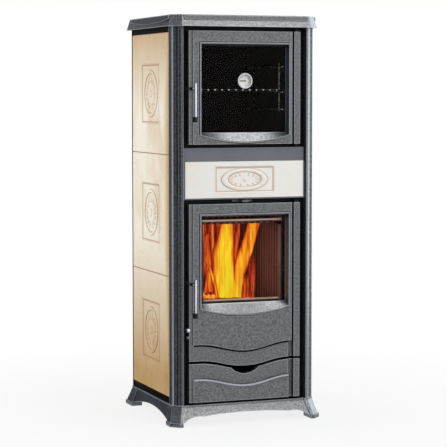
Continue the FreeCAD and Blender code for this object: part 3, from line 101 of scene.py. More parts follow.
class Finish:
    """A procedural material: one Principled shader, and short calls that add nodes before it."""

    def __init__(self, name, **constants):
        self.material = bpy.data.materials.new(name)
        self.material.use_nodes = True
        self.tree = self.material.node_tree
        self.shader = self.tree.nodes["Principled BSDF"]
        self.place = self.add("ShaderNodeTexCoord").outputs["Object"]
        for word, value in constants.items():
            self.set(word.replace("_", " ").title().replace("Ior", "IOR"), value)

    def set(self, socket, value):
        """Give a shader socket a constant, or link it to another node's socket."""
        self.feed(self.shader, socket, value)
        return self

    def feed(self, node, socket, value):
        if isinstance(value, bpy.types.NodeSocket):
            self.tree.links.new(value, node.inputs[socket])
        else:
            node.inputs[socket].default_value = value

    def add(self, kind, inputs=None, **options):
        node = self.tree.nodes.new(kind)
        for option, value in options.items():
            setattr(node, option, value)
        for socket, value in (inputs or {}).items():
            self.feed(node, socket, value)
        return node

    def stretch(self, scale):
        """Object coordinates scaled apart along X, Y and Z."""
        return self.add("ShaderNodeMapping", {"Vector": self.place, "Scale": scale}).outputs[0]

    def noise(self, scale, detail=3.0, roughness=0.5, place=None):
        inputs = {"Vector": place or self.place, "Scale": scale, "Detail": detail, "Roughness": roughness}
        return self.add("ShaderNodeTexNoise", inputs).outputs["Fac"]

    def cells(self, scale, place=None):
        inputs = {"Vector": place or self.place, "Scale": scale}
        return self.add("ShaderNodeTexVoronoi", inputs).outputs["Distance"]

    def attribute(self, name):
        return self.add("ShaderNodeAttribute", attribute_name=name).outputs["Fac"]

    def axes(self):
        """Object X, Y and Z, each as a value."""
        return self.add("ShaderNodeSeparateXYZ", {"Vector": self.place}).outputs

    def span(self, value, low, high, to_low=0.0, to_high=1.0):
        inputs = {"Value": value, "From Min": low, "From Max": high, "To Min": to_low, "To Max": to_high}
        return self.add("ShaderNodeMapRange", inputs, clamp=True).outputs[0]

    def math(self, operation, first, second=0.0):
        return self.add("ShaderNodeMath", {0: first, 1: second}, operation=operation).outputs[0]

    def times(self, first, second):
        return self.math("MULTIPLY", first, second)

    def along(self, vector, direction):
        """How far a vector reaches along a direction."""
        inputs = {0: vector, 1: direction}
        return self.add("ShaderNodeVectorMath", inputs, operation="DOT_PRODUCT").outputs["Value"]

    def ramp(self, value, *stops):
        """Colours along a value: each stop is a place from 0 to 1 and a colour."""
        node = self.add("ShaderNodeValToRGB", {"Fac": value})
        points = node.color_ramp.elements
        while len(points) < len(stops):
            points.new(1.0)
        for point, (place, color) in zip(points, stops):
            point.position = place
            point.color = color
        return node.outputs["Color"]

    def blend(self, share, first, second):
        node = self.add("ShaderNodeMix", data_type="RGBA")
        for socket, value in ((0, share), (6, first), (7, second)):
            self.feed(node, socket, value)
        return node.outputs[2]

    def normal(self):
        return self.add("ShaderNodeNewGeometry").outputs["Normal"]

    def bend(self, radius):
        """1 on flat ground, falling towards 0 beside sharp edges."""
        rounded = self.add("ShaderNodeBevel", {"Radius": radius}, samples=6).outputs[0]
        return self.along(rounded, self.normal())

    def recess(self, distance):
        """1 in the open, falling towards 0 in the corners and grooves of the same piece."""
        inputs = {"Distance": distance}
        return self.add("ShaderNodeAmbientOcclusion", inputs, samples=6, only_local=True).outputs["AO"]

    def bump(self, height, distance, strength=1.0, edge=None):
        """Raise the surface by a value; an edge size rounds sharp corners in the light."""
        inputs = {"Height": height, "Distance": distance, "Strength": strength}
        if edge:
            inputs["Normal"] = self.add("ShaderNodeBevel", {"Radius": edge}, samples=4).outputs[0]
        return self.set("Normal", self.add("ShaderNodeBump", inputs).outputs["Normal"])


# Finishes

def wave_share(finish, end, half_line):
    """Share of a waved line on a front: a cosine that sags between its ends, cut off at both sides."""
    axes = finish.axes()
    turn = finish.math("COSINE", finish.span(axes["X"], -WAVE_HALF, WAVE_HALF, -math.pi, math.pi))
    height = finish.math("ADD", finish.times(turn, -WAVE_SAG / 2), end - WAVE_SAG / 2)
    gap = finish.math("ABSOLUTE", finish.math("SUBTRACT", axes["Z"], height))
    left = finish.span(axes["X"], *(-WAVE_HALF - past for past in WAVE_LEFT))
    right = finish.span(axes["X"], *(WAVE_HALF - short for short in WAVE_RIGHT), 1.0, 0.0)
    line = finish.span(gap, half_line - WAVE_BLUR, half_line + WAVE_BLUR, 0.95, 0.0)
    return finish.times(finish.times(left, right), line)


def stripe_share(finish):
    """Share of the upright painted highlight line on a front post, found along the plan's diagonal, alike on
    both sides.
    """
    folded = finish.add("ShaderNodeVectorMath", {0: finish.place}, operation="ABSOLUTE").outputs[0]
    away = finish.math("SUBTRACT", finish.along(folded, POST_DIAGONAL), STRIPE_PLACE)
    gap = finish.math("ABSOLUTE", away)
    return finish.span(gap, STRIPE_HALF - STRIPE_BLUR, STRIPE_HALF + STRIPE_BLUR, 0.85, 0.0)


def sand_cast(name, gloss=0.9, hollow=HOLLOW, wave=None, striped=False):
    """Painted sand casting: grains of two greys, a slow drift, painted highlights on edges, painted shade in
    recesses, grainy bump.

    Faces that look down get less painted edge highlight and less shine. Hollow is how far a recess is felt.
    A wave gives the end height, half thickness and colour of a line along the front, a painted shadow or a
    painted highlight; a striped post has an upright painted highlight line."""
    finish = Finish(name, ior=1.85)
    grains = finish.noise(180, 4.0, 0.8)
    drift = finish.noise(7, 2.0)
    color = finish.ramp(grains, (0.38, DARK), (0.64, LIGHT))
    color = finish.blend(finish.span(drift, 0.3, 0.7, 0.0, 0.3), color, DARK)
    upward = finish.add("ShaderNodeSeparateXYZ", {"Vector": finish.normal()}).outputs["Z"]
    lit = finish.span(upward, -0.6, -0.1, 0.15, 1.0)
    # Painted highlight: edges lighten, less so on faces that look down.
    edge_highlight = finish.times(lit, finish.span(finish.bend(EDGE_HIGHLIGHT_REACH), 0.985, 0.86, 0.0, 0.8))
    color = finish.blend(edge_highlight, color, PAINTED_HIGHLIGHT)
    # Painted shade: corners and grooves of the same piece darken and shine less.
    open_share = finish.recess(hollow)
    color = finish.blend(finish.span(open_share, 0.5, 0.95, 0.95, 0.0), color, PAINTED_SHADE)
    shine = finish.times(lit, finish.span(open_share, 0.5, 0.92, 0.05, gloss))
    shine = finish.times(shine, finish.span(grains, 0.36, 0.64, 0.5, 1.0))
    # A dark wave line is a painted shadow, a pale one a painted highlight.
    if wave:
        end, half_line, line_color = wave
        share = wave_share(finish, end, half_line)
        color = finish.blend(share, color, line_color)
        if line_color == PAINTED_SHADE:
            shine = finish.times(shine, finish.math("SUBTRACT", 1.0, share))
    # The upright stripe on a post is a painted highlight.
    if striped:
        color = finish.blend(stripe_share(finish), color, PAINTED_HIGHLIGHT)
    finish.set("Base Color", color)
    finish.set("Specular IOR Level", shine)
    finish.set("Roughness", finish.span(grains, 0.3, 0.7, 0.4, 0.27))
    return finish.bump(grains, 0.0008, 0.32, 0.0012).material


def satin_paint(name, color, edge, rough=0.45, shine=0.3):
    """Smooth sprayed steel: a faint orange-peel bump and slight drift of tone."""
    finish = Finish(name, specular_ior_level=shine)
    drift = finish.noise(9, 3.0)
    finish.set("Base Color", finish.ramp(drift, (0.3, color), (0.75, edge)))
    finish.set("Roughness", finish.span(drift, 0.3, 0.7, rough, rough + 0.12))
    return finish.bump(finish.noise(160, 2.0), 0.0002, 0.3).material


def tile_glaze(name, pale, warm, pool, reach, stacked=False):
    """Cream glaze with warm clouds, and brown glaze pooled in the relief.

    Reach is the cloud value at which warmth is full. Stacked tiles are also warm towards the front, foot
    and head of the stack, and have brown joints."""
    finish = Finish(name, coat_weight=0.1, coat_roughness=0.12, specular_ior_level=0.4)
    clouds = finish.noise(5.5, 4.0, 0.55, finish.stretch((1.0, 1.5, 0.8)))
    ripple = finish.noise(12, 1.0)
    warmth = finish.span(clouds, 0.45, reach, 0.0, 0.55)
    marks = finish.attribute("pool")
    if stacked:
        axes = finish.axes()
        foot, head = finish.span(axes["Z"], *WARM_FOOT), finish.span(axes["Z"], *WARM_HEAD, 0.0, 0.8)
        rim = finish.math("MAXIMUM", foot, head)
        rim = finish.math("MAXIMUM", rim, finish.span(axes["Y"], *WARM_FRONT))
        rim = finish.times(rim, finish.span(clouds, 0.25, 0.6, 0.8, 1.0))
        warmth = finish.math("MAXIMUM", warmth, rim)
        tiles_up = finish.math("DIVIDE", finish.math("SUBTRACT", axes["Z"], TILE_FOOT), TILE_PITCH)
        from_joint = finish.math("PINGPONG", finish.math("FRACT", tiles_up), 0.5)
        marks = finish.math("MAXIMUM", marks, finish.span(from_joint, *JOINT_SHARES, 0.85, 0.0))
    finish.set("Base Color", finish.blend(marks, finish.blend(warmth, pale, warm), pool))
    finish.set("Roughness", finish.span(ripple, 0.3, 0.7, 0.26, 0.36))
    return finish.bump(ripple, 0.0004, 0.15).material


def pane_glass(name):
    """Heat-proof pane with a low reflection and a faint, cloudy tint."""
    finish = Finish(name, transmission_weight=1.0, ior=1.12, roughness=0.0)
    clouds = finish.noise(14, 4.0, 0.6, finish.stretch((1.0, 1.0, 0.5)))
    finish.set("Base Color", finish.ramp(clouds, (0.3, tint(224, 222, 219)), (0.8, tint(240, 239, 237))))
    return finish.material


def polished(name, color, light, low, high):
    """Bright metal with fine lengthwise scuffs."""
    finish = Finish(name, metallic=1.0)
    scuffs = finish.noise(90, 3.0, 0.6, finish.stretch((1.0, 1.0, 0.15)))
    finish.set("Base Color", finish.ramp(scuffs, (0.3, color), (0.8, light)))
    finish.set("Roughness", finish.span(scuffs, 0.3, 0.7, low, high))
    return finish.material


def rail_wire(name):
    """Wire that is bright near the door and dark towards the rear."""
    finish = Finish(name, metallic=1.0)
    scuffs = finish.noise(90, 3.0, 0.6)
    bright = finish.ramp(scuffs, (0.3, tint(120, 120, 118)), (0.8, tint(160, 160, 156)))
    burnt = finish.span(finish.axes()["Y"], *RAIL_DARKENING)
    finish.set("Base Color", finish.blend(burnt, bright, tint(24, 24, 24)))
    finish.set("Roughness", finish.span(scuffs, 0.3, 0.7, 0.2, 0.35))
    return finish.material


def edged_bar(name, head):
    """Heat-browned steel bar with a painted highlight along its upper edge, below the height of its head."""
    finish = Finish(name, metallic=1.0)
    scuffs = finish.noise(90, 3.0, 0.6, finish.stretch((0.15, 1.0, 1.0)))
    brown = finish.ramp(scuffs, (0.3, tint(78, 66, 60)), (0.8, tint(104, 90, 82)))
    # Painted highlight: a pale band along the upper edge.
    share = finish.span(finish.axes()["Z"], *(head - below for below in BAR_HIGHLIGHT_BAND))
    finish.set("Base Color", finish.blend(share, brown, tint(226, 200, 184)))
    finish.set("Roughness", finish.span(scuffs, 0.3, 0.7, 0.35, 0.5))
    return finish.material


def moulded_black(name):
    """Glossy moulded tip with a fine texture."""
    finish = Finish(name, specular_ior_level=0.25)
    grain = finish.noise(300, 2.0)
    finish.set("Base Color", finish.ramp(grain, (0.3, tint(10, 10, 11)), (0.7, tint(24, 24, 26))))
    finish.set("Roughness", finish.span(grain, 0.3, 0.7, 0.22, 0.35))
    return finish.bump(grain, 0.0002, 0.3).material


def braid(name):
    """Glass-fibre rope: dark grey strands, with painted shade darkening the hollows between them."""
    finish = Finish(name, roughness=0.9, sheen_weight=0.3)
    fuzz = finish.noise(500, 2.0)
    color = finish.ramp(fuzz, (0.3, tint(52, 52, 54)), (0.7, tint(92, 91, 90)))
    # Painted shade: the pool attribute darkens the hollows between strands.
    finish.set("Base Color", finish.blend(finish.attribute("pool"), color, tint(26, 26, 27)))
    return finish.bump(fuzz, 0.0006, 0.5).material


def burnt_casting(name):
    """Heat-browned firebox castings: sooty clouds, upright painted highlights along the ribs, painted
    highlights on rib crests, painted shade between the ribs.

    The upright highlights are a cosine along X + Y, so that they stand on the rear plate and on the side
    plates alike."""
    finish = Finish(name, specular_ior_level=0.2)
    soot = finish.noise(9, 4.0, 0.6)
    grains = finish.noise(260, 3.0, 0.7)
    color = finish.ramp(soot, (0.35, tint(66, 42, 40)), (0.7, tint(108, 72, 66)))
    color = finish.blend(finish.span(grains, 0.4, 0.7, 0.0, 0.4), color, tint(44, 28, 27))
    axes = finish.axes()
    # Painted highlight: pale upright lines across the plates.
    turn = finish.times(finish.math("ADD", axes["X"], axes["Y"]), 2 * math.pi / HIGHLIGHT_LINE_PITCH)
    streaks = finish.span(finish.math("COSINE", turn), -0.2, 0.9, 0.0, 0.95)
    streaks = finish.times(streaks, finish.span(soot, 0.3, 0.6, 0.6, 1.0))
    color = finish.blend(streaks, color, tint(168, 116, 108))
    # Painted highlight on the rib crests.
    crest = finish.span(finish.bend(RIB_HIGHLIGHT_REACH), 0.97, 0.80, 0.0, 0.7)
    color = finish.blend(crest, color, tint(158, 112, 104))
    # Painted shade between the ribs.
    between = finish.span(finish.recess(RIB_HOLLOW), 0.4, 0.9, 0.85, 0.0)
    finish.set("Base Color", finish.blend(between, color, tint(24, 13, 12)))
    finish.set("Roughness", finish.span(grains, 0.3, 0.7, 0.75, 0.9))
    return finish.bump(grains, 0.0008, 0.6).material


def dial_card(name):
    """Off-white enamel card with a faint grain."""
    finish = Finish(name, roughness=0.4)
    grain = finish.noise(400, 2.0)
    finish.set("Base Color", finish.ramp(grain, (0.3, tint(232, 232, 228)), (0.7, tint(248, 248, 245))))
    return finish.material


def charred_wood(name):
    """Burning split log: charcoal bark with cracks that glow orange."""
    finish = Finish(name, roughness=0.9)
    bark = finish.cells(70, finish.stretch((0.45, 1.0, 1.0)))
    crack = finish.times(finish.span(bark, 0.52, 0.80), finish.attribute("pool"))
    finish.set("Base Color", finish.ramp(bark, (0.1, tint(74, 52, 38)), (0.6, tint(22, 16, 13))))
    finish.set("Emission Color", finish.ramp(crack, (0.0, (0, 0, 0, 1)), (0.4, (0.75, 0.10, 0.01, 1)),
                                             (1.0, (1.0, 0.42, 0.05, 1))))
    finish.set("Emission Strength", 1.6)
    return finish.bump(bark, 0.004, 0.8).material


def live_coal(name):
    """Glowing coal: bright orange with duller plates."""
    finish = Finish(name, roughness=0.9, base_color=tint(60, 20, 10))
    plates = finish.cells(120)
    finish.set("Emission Color", finish.ramp(plates, (0.15, tint(214, 84, 18)), (0.5, tint(255, 160, 48))))
    finish.set("Emission Strength", 1.2)
    return finish.bump(plates, 0.002, 0.6).material


def fire_glow(name):
    """Flame: glows by its blaze value, dull red to yellow, in upright streaks and wisps, and fades out."""
    finish = Finish(name, roughness=1.0, specular_ior_level=0.0, base_color=(0, 0, 0, 1))
    blaze = finish.attribute("blaze")
    streaks = finish.noise(34, 3.0, 0.55, finish.stretch((2.6, 1.0, 0.28)))
    blaze = finish.math("ADD", blaze, finish.span(streaks, 0.3, 0.7, -0.30, 0.18))
    wisps = finish.noise(60, 2.0, 0.5, finish.stretch((3.2, 1.0, 0.2)))
    blaze = finish.math("ADD", blaze, finish.span(wisps, 0.3, 0.7, -0.14, 0.10))
    finish.set("Emission Color", finish.ramp(blaze, (0.0, tint(74, 16, 10)), (0.28, tint(150, 40, 18)),
                                             (0.48, tint(222, 84, 20)), (0.66, tint(248, 142, 22)),
                                             (0.84, tint(255, 190, 24)), (1.0, tint(255, 226, 40))))
    finish.set("Emission Strength", 1.12)
    finish.set("Alpha", finish.span(blaze, 0.04, 0.24))
    return finish.material


# Casting tones: dark and light grains, a pale tone for painted highlights, a near black for painted shade.
DARK, LIGHT, PAINTED_HIGHLIGHT, PAINTED_SHADE = tint(20, 23, 28), tint(82, 88, 97), tint(176, 182, 192), tint(5, 6, 8)
FINISHES = {
    "cast_iron": sand_cast("anthracite casting"),
    "grey_band": satin_paint("smooth grey band", tint(106, 110, 117), tint(118, 122, 129)),
    "black_steel": satin_paint("satin black sheet", tint(7, 7, 8), tint(13, 13, 15), shine=0.15),
    "glazed_tile": tile_glaze("side tile glaze", tint(250, 243, 226), tint(196, 156, 96),
                              tint(160, 118, 70), 0.85, stacked=True),
    "pale_tile": tile_glaze("front tile glaze", tint(253, 250, 244), tint(250, 230, 204),
                            tint(196, 156, 116), 0.66),
    "door_glass": pane_glass("door pane"),
    "chrome": polished("bright chrome", tint(176, 179, 184), tint(208, 211, 216), 0.12, 0.24),
    "dark_steel": polished("dull steel", tint(84, 84, 86), tint(118, 118, 120), 0.35, 0.5),
    "black_tip": moulded_black("handle tip black"),
    "needle_black": satin_paint("needle black", tint(16, 16, 17), tint(24, 24, 25)),
    "rope_seal": braid("seal braid"),
    "oven_enamel": satin_paint("oven enamel", tint(9, 9, 10), tint(15, 15, 16), 0.5, 0.08),
    "fire_iron": burnt_casting("burnt casting"),
    "pan_steel": polished("pan steel", tint(104, 105, 107), tint(140, 141, 143), 0.4, 0.55),
}
# Pale metal on the wire ends: a painted glint.
GLINT_END = polished("wire end glint", tint(214, 216, 218), tint(238, 239, 240), 0.15, 0.3)
OWN_FINISH = {
    "oven_rack": polished("oven wire", tint(20, 20, 20), tint(34, 34, 33), 0.3, 0.45),
    "rack_rails": rail_wire("rail wire"),
    # Fire door: the dark wave line is a painted shadow under the overhanging upper panel.
    "fire_door_frame": sand_cast("fire door casting", wave=(FIRE_WAVE_END, GROOVE_HALF, PAINTED_SHADE)),
    # Drawer: the pale wave line is a painted highlight on the bead.
    "drawer_front": sand_cast("drawer casting", wave=(DRAWER_WAVE_END, BEAD_HALF, PAINTED_HIGHLIGHT)),
    # Left post: less shine than the other castings, a shaded copy of the casting, so painted shade.
    "front_left_post": sand_cast("left post casting", gloss=0.3, striped=True),
    # Right post: recesses felt over a shorter reach, so less painted shade, a lit copy of the casting.
    "front_right_post": sand_cast("right post casting", hollow=POST_HOLLOW, striped=True),
    "log_guard": edged_bar("log guard steel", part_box("log_guard")[1].z),
    "air_wash_bar": edged_bar("air wash bar steel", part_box("air_wash_bar")[1].z),
}
for subpart in frame["record"]["subparts"]:
    for place in frame["nodes"][subpart["node"]].material_slots:
        place.material = OWN_FINISH.get(subpart["node"], FINISHES[subpart["material_slot"]])


# Meshes from grids of points

def linked(name, data):
    """A new object of a mesh, a lamp or a camera, in the scene."""
    item = bpy.data.objects.new(name, data)
    bpy.context.scene.collection.objects.link(item)
    return item


def grid_faces(rows, columns, round_rows=False, round_columns=False):
    """Corner numbers of each cell of a grid, with the last row or column joined to the first if round."""
    low, left = np.meshgrid(np.arange(rows - (not round_rows)), np.arange(columns - (not round_columns)),
                            indexing="ij")
    high, right = (low + 1) % rows, (left + 1) % columns
    return np.stack([low * columns + left, low * columns + right, high * columns + right,
                     high * columns + left], axis=-1).reshape(-1, 4)


def piece(name, grids, finish, body, slot, round_rows=False, round_columns=False, closed=True, **fields):
    """One object from grids of points [rows, columns, 3]; fields are values per point kept as attributes."""
    points, faces, count = [], [], 0
    for grid in grids:
        faces.append(grid_faces(*grid.shape[:2], round_rows, round_columns) + count)
        points.append(grid.reshape(-1, 3))
        count += len(points[-1])
    mesh = bpy.data.meshes.new(name)
    mesh.from_pydata(np.concatenate(points).tolist(), [], np.concatenate(faces).tolist())
    for field, values in fields.items():
        kept = mesh.attributes.new(field, "FLOAT", "POINT").data
        kept.foreach_set("value", np.ravel(values).astype(np.float32))
    if closed:
        shell = bmesh.new()
        shell.from_mesh(mesh)
        bmesh.ops.remove_doubles(shell, verts=shell.verts, dist=1e-6)
        bmesh.ops.recalc_face_normals(shell, faces=shell.faces)
        shell.to_mesh(mesh)
        shell.free()
    mesh.polygons.foreach_set("use_smooth", np.ones(len(mesh.polygons), bool))
    mesh.materials.append(finish)
    item = linked(name, mesh)
    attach(item, body)
    return item


def smooth_step(value, low, high):
    share = np.clip((value - low) / (high - low), 0, 1)
    return share * share * (3 - 2 * share)


def turned(profile, centre, axis, steps=24):
    """A profile of (radius, height) pairs turned about an axis through centre."""
    radius, height = np.array(profile, float).T
    angle = np.linspace(0, 2 * np.pi, steps, endpoint=False)
    axis = np.array(axis, float)
    side = np.cross(axis, (0, 0, 1) if abs(axis[2]) < 0.5 else (1, 0, 0))
    other = np.cross(axis, side)
    ring = np.cos(angle)[:, None] * side + np.sin(angle)[:, None] * other
    return np.array(centre) + radius[:, None, None] * ring[None] + height[:, None, None] * axis


def node_centre(node):
    low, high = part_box(node)
    return (low + high) / 2


# Tile reliefs: an oval moulding, a wreath of leaves and a rosette

RELIEF_LIFT = 0.0004
OVAL_RING = 0.009
FIELD_BEVEL = 0.004
EDGE_RISE, RING_RISE, WREATH_RISE, BOSS_RISE = 1.05, 1.15, 0.9, 0.9
EDGE_POOL, RING_POOL, LEAF_POOL = (0.0045, 0.0022, 0.8), (0.0052, 0.0016, 0.75), 0.75
LEAF_PAIRS, LEAF_LEAN, SPRAY_TURNS = 7, 0.55, (-78, 66)
PETALS, BOSS_SHARES = 8, (0.085, 0.05)
STEM_SHARE, LEAF_SHARE, LEAF_WIDTH_SHARE, PETAL_SHARE, PETAL_WIDTH_SHARE = 0.66, 0.30, 0.28, 0.26, 0.07


def leaf_height(across, up, foot, angle, length, width):
    """A leaf's rise above the ground: half-oval in section, narrow at both ends, with a groove on its rib."""
    along = (across - foot[0]) * np.cos(angle) + (up - foot[1]) * np.sin(angle)
    beside = (up - foot[1]) * np.cos(angle) - (across - foot[0]) * np.sin(angle)
    share = np.clip(along / length, 0, 1)
    half = width * np.sin(np.pi * share) ** 0.8 + 1e-9
    rise = np.sqrt(np.clip(1 - (beside / half) ** 2, 0, 1)) * (half / width) ** 0.5
    groove = 1 - 0.4 * np.exp(-(beside / (0.18 * width)) ** 2)
    return np.where((along > 0) & (along < length), rise * groove, 0)


def wreath_height(across, up, half):
    """Two mirrored sprays of paired leaves on an oval stem, and petals round a boss in the middle."""
    rise = np.zeros_like(across)
    least = min(half)
    leaf = LEAF_SHARE * least
    for side in (-1, 1):
        for turn in np.linspace(*SPRAY_TURNS, LEAF_PAIRS):
            middle = math.radians(turn)
            foot = (side * STEM_SHARE * half[0] * math.cos(middle), STEM_SHARE * half[1] * math.sin(middle))
            heading = math.atan2(half[1] * math.cos(middle), -side * half[0] * math.sin(middle))
            for lean in (-LEAF_LEAN, LEAF_LEAN):
                spray = leaf_height(across, up, foot, heading + lean, leaf, LEAF_WIDTH_SHARE * leaf)
                rise = np.maximum(rise, spray)
    for turn in np.arange(PETALS) * 2 * math.pi / PETALS:
        petal = leaf_height(across, up, (0, 0), turn, PETAL_SHARE * least, PETAL_WIDTH_SHARE * least)
        rise = np.maximum(rise, petal)
    boss_foot, boss_crown = BOSS_SHARES
    boss = smooth_step(-np.hypot(across, up) / least, -boss_foot, -boss_crown)
    return np.maximum(rise, BOSS_RISE * boss)


def glaze_band(gap, place, width, share):
    """Glaze pooled about a place, thinning to both sides."""
    return share * np.exp(-((gap - place) / width) ** 2)


def tile_relief(name, centre, across_axis, outward, field, oval, slot, columns, rows):
    """A sunk field with a bevelled edge, an oval moulding and the wreath inside, laid in a tile's recess."""
    across, up = np.meshgrid(np.linspace(-1, 1, columns) * (field[0] - RELIEF_LIFT),
                             np.linspace(-1, 1, rows) * (field[1] - RELIEF_LIFT), indexing="ij")
    inset = np.minimum(field[0] - np.abs(across), field[1] - np.abs(up))
    oval_gap = (np.hypot(across / oval[0], up / oval[1]) - 1) * min(oval) + OVAL_RING / 2
    ring = np.sqrt(np.clip(1 - (oval_gap / (0.5 * OVAL_RING)) ** 2, 0, 1))
    inner = (oval[0] - OVAL_RING, oval[1] - OVAL_RING)
    wreath = np.where(oval_gap < -OVAL_RING / 2, wreath_height(across, up, inner), 0)
    edge = 1 - smooth_step(inset, 0.0, FIELD_BEVEL)
    rise = np.maximum.reduce([EDGE_RISE * edge, RING_RISE * ring, WREATH_RISE * wreath])
    leaf_edge = smooth_step(wreath, 0.0, 0.25) * (1 - smooth_step(wreath, 0.45, 0.8))
    pool = np.maximum.reduce([glaze_band(inset, *EDGE_POOL), glaze_band(np.abs(oval_gap), *RING_POOL),
                              LEAF_POOL * leaf_edge])
    lift = RELIEF_DEPTH * (rise - 1) + RELIEF_LIFT
    points = (np.array(centre) + across[..., None] * np.array(across_axis)
              + up[..., None] * np.array((0, 0, 1)) + lift[..., None] * np.array(outward))
    piece(name, [points], FINISHES[slot], "stove_body", slot, closed=False, pool=pool)


for side_name, side in (("left", -1), ("right", 1)):
    for level in ("lower", "middle", "upper"):
        middle = node_centre(f"{side_name}_tile_{level}")
        tile_relief(f"{side_name}_relief_{level}", (side * SIDE_X, middle.y, middle.z), (0, side, 0),
                    (side, 0, 0), SIDE_FIELD, SIDE_OVAL, "glazed_tile", 110, 120)
tile_middle = node_centre("front_tile")
tile_relief("front_relief", (tile_middle.x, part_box("front_tile")[0].y, tile_middle.z), (1, 0, 0),
            (0, -1, 0), FRONT_FIELD, FRONT_OVAL, "pale_tile", 180, 90)


# Thermometer card with its scale marks

CARD_GAP = 0.0003
MARK_COUNT, LONG_EVERY = 26, 5
MARK_END_SHARE, LONG_START_SHARE, SHORT_START_SHARE = 0.89, 0.65, 0.76
LONG_HALF, SHORT_HALF = 0.00055, 0.0003


def dial():
    """A card in the bottom of the case, and a fan of short marks over the needle's turn."""
    low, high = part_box("thermometer_case")
    card = np.array([(low.x + high.x) / 2, low.y + DIAL_DEPTH - CARD_GAP, (low.z + high.z) / 2])
    piece("dial_card", [turned([(0, 0), (DIAL_RADIUS / 2, 0), (DIAL_RADIUS, 0)], card, (0, -1, 0), 40)],
          dial_card("dial card"), "oven_door", "chrome", round_columns=True, closed=False)
    marks = []
    for number, angle in enumerate(np.linspace(0, DIAL_SWEEP, MARK_COUNT)):
        outward = np.array([-math.cos(angle), 0, math.sin(angle)])
        across = np.array([math.sin(angle), 0, math.cos(angle)])
        is_long = number % LONG_EVERY == 0
        start_share, half = (LONG_START_SHARE, LONG_HALF) if is_long else (SHORT_START_SHARE, SHORT_HALF)
        reach = DIAL_RADIUS * np.array([start_share, MARK_END_SHARE])
        marks.append(card + np.array([0, -CARD_GAP, 0]) + reach[:, None, None] * outward
                     + np.array([-half, half])[None, :, None] * across)
    piece("dial_marks", marks, FINISHES["needle_black"], "oven_door", "needle_black", closed=False)


dial()


# Rope seals

ROPE_CORNER, ROPE_STEP, BRAID_PITCH = 0.014, 0.003, 0.012
ROPE_WIDTH_SHARE = 1.5
CORNER_POINTS, ROPE_SIDES = 64, 14


def rope_seal(node, body):
    """A braided rope on a rounded rectangle: a flattened section that ripples along two crossing spirals."""
    low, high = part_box(node)
    thick = (high.y - low.y) / 2
    half_x, half_z = (high.x - low.x) / 2 - 2 * thick, (high.z - low.z) / 2 - 2 * thick
    centre = (low + high) / 2
    turn = np.linspace(0, 2 * np.pi, CORNER_POINTS, endpoint=False) + np.pi / CORNER_POINTS
    path_x = np.sign(np.cos(turn)) * (half_x - ROPE_CORNER) + ROPE_CORNER * np.cos(turn)
    path_z = np.sign(np.sin(turn)) * (half_z - ROPE_CORNER) + ROPE_CORNER * np.sin(turn)
    path = np.stack([np.append(path_x, path_x[0]), np.append(path_z, path_z[0])], axis=-1)
    length = np.append(0, np.cumsum(np.linalg.norm(np.diff(path, axis=0), axis=1)))
    steps = int(length[-1] / ROPE_STEP)
    along = np.linspace(0, length[-1], steps, endpoint=False)
    line = np.stack([np.interp(along, length, path[:, 0]), np.interp(along, length, path[:, 1])], axis=-1)
    ahead = np.roll(line, -1, axis=0) - np.roll(line, 1, axis=0)
    ahead /= np.linalg.norm(ahead, axis=1)[:, None]
    outward = np.stack([ahead[:, 1], -ahead[:, 0]], axis=-1)
    angle = np.linspace(0, 2 * np.pi, ROPE_SIDES, endpoint=False)
    twist = 2 * np.pi * np.round(length[-1] / BRAID_PITCH) * along / length[-1]
    weave = np.cos(2 * angle[None] + twist[:, None]) * np.cos(2 * angle[None] - twist[:, None])
    radius = thick * (0.93 + 0.07 * weave)
    flat = ROPE_WIDTH_SHARE * radius * np.cos(angle)[None]
    points = np.stack([centre.x + line[:, :1] + flat * outward[:, :1],
                       centre.y + radius * np.sin(angle)[None],
                       centre.z + line[:, 1:] + flat * outward[:, 1:]], axis=-1)
    # The pool values mark the hollows of the weave for painted shade.
    rope = piece(node.replace("rope", "braid"), [points], FINISHES["rope_seal"], body, "rope_seal",
                 round_rows=True, round_columns=True, pool=np.clip(0.5 - weave, 0, 1))
    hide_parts(node)


rope_seal("oven_door_rope", "oven_door")
rope_seal("fire_door_rope", "fire_door")


# Screws and wire ends

PANEL_SCREW, FLANGE_SCREW, CLIP_SCREW = 0.0045, 0.004, 0.0035
PANEL_ROWS, PANEL_MARGIN, PANEL_INSET = 6, 0.05, 0.034
PANEL_END_X, PANEL_END_INSET = 0.09, 0.012
FLANGE_THICK, FLANGE_INSET = 0.004, 0.009
CLIP_END_INSET, CLIP_SIDE_INSET = 0.013, 0.006
ROD_END_SHARE, RUNG_END_SHARE, ROD_END_SINK = 1.7, 1.2, 0.0006


def domes(name, places, axis, radius, body, slot, finish=None):
    """Low domed heads with a rim: one turned profile at each place."""
    height = 0.45 * radius
    profile = [(0, height), (0.45 * radius, 0.93 * height), (0.8 * radius, 0.62 * height),
               (radius, 0.2 * height), (radius, 0)]
    heads = [turned(profile, place, axis, 12) for place in places]
    piece(name, heads, finish or FINISHES[slot], body, slot, round_columns=True)


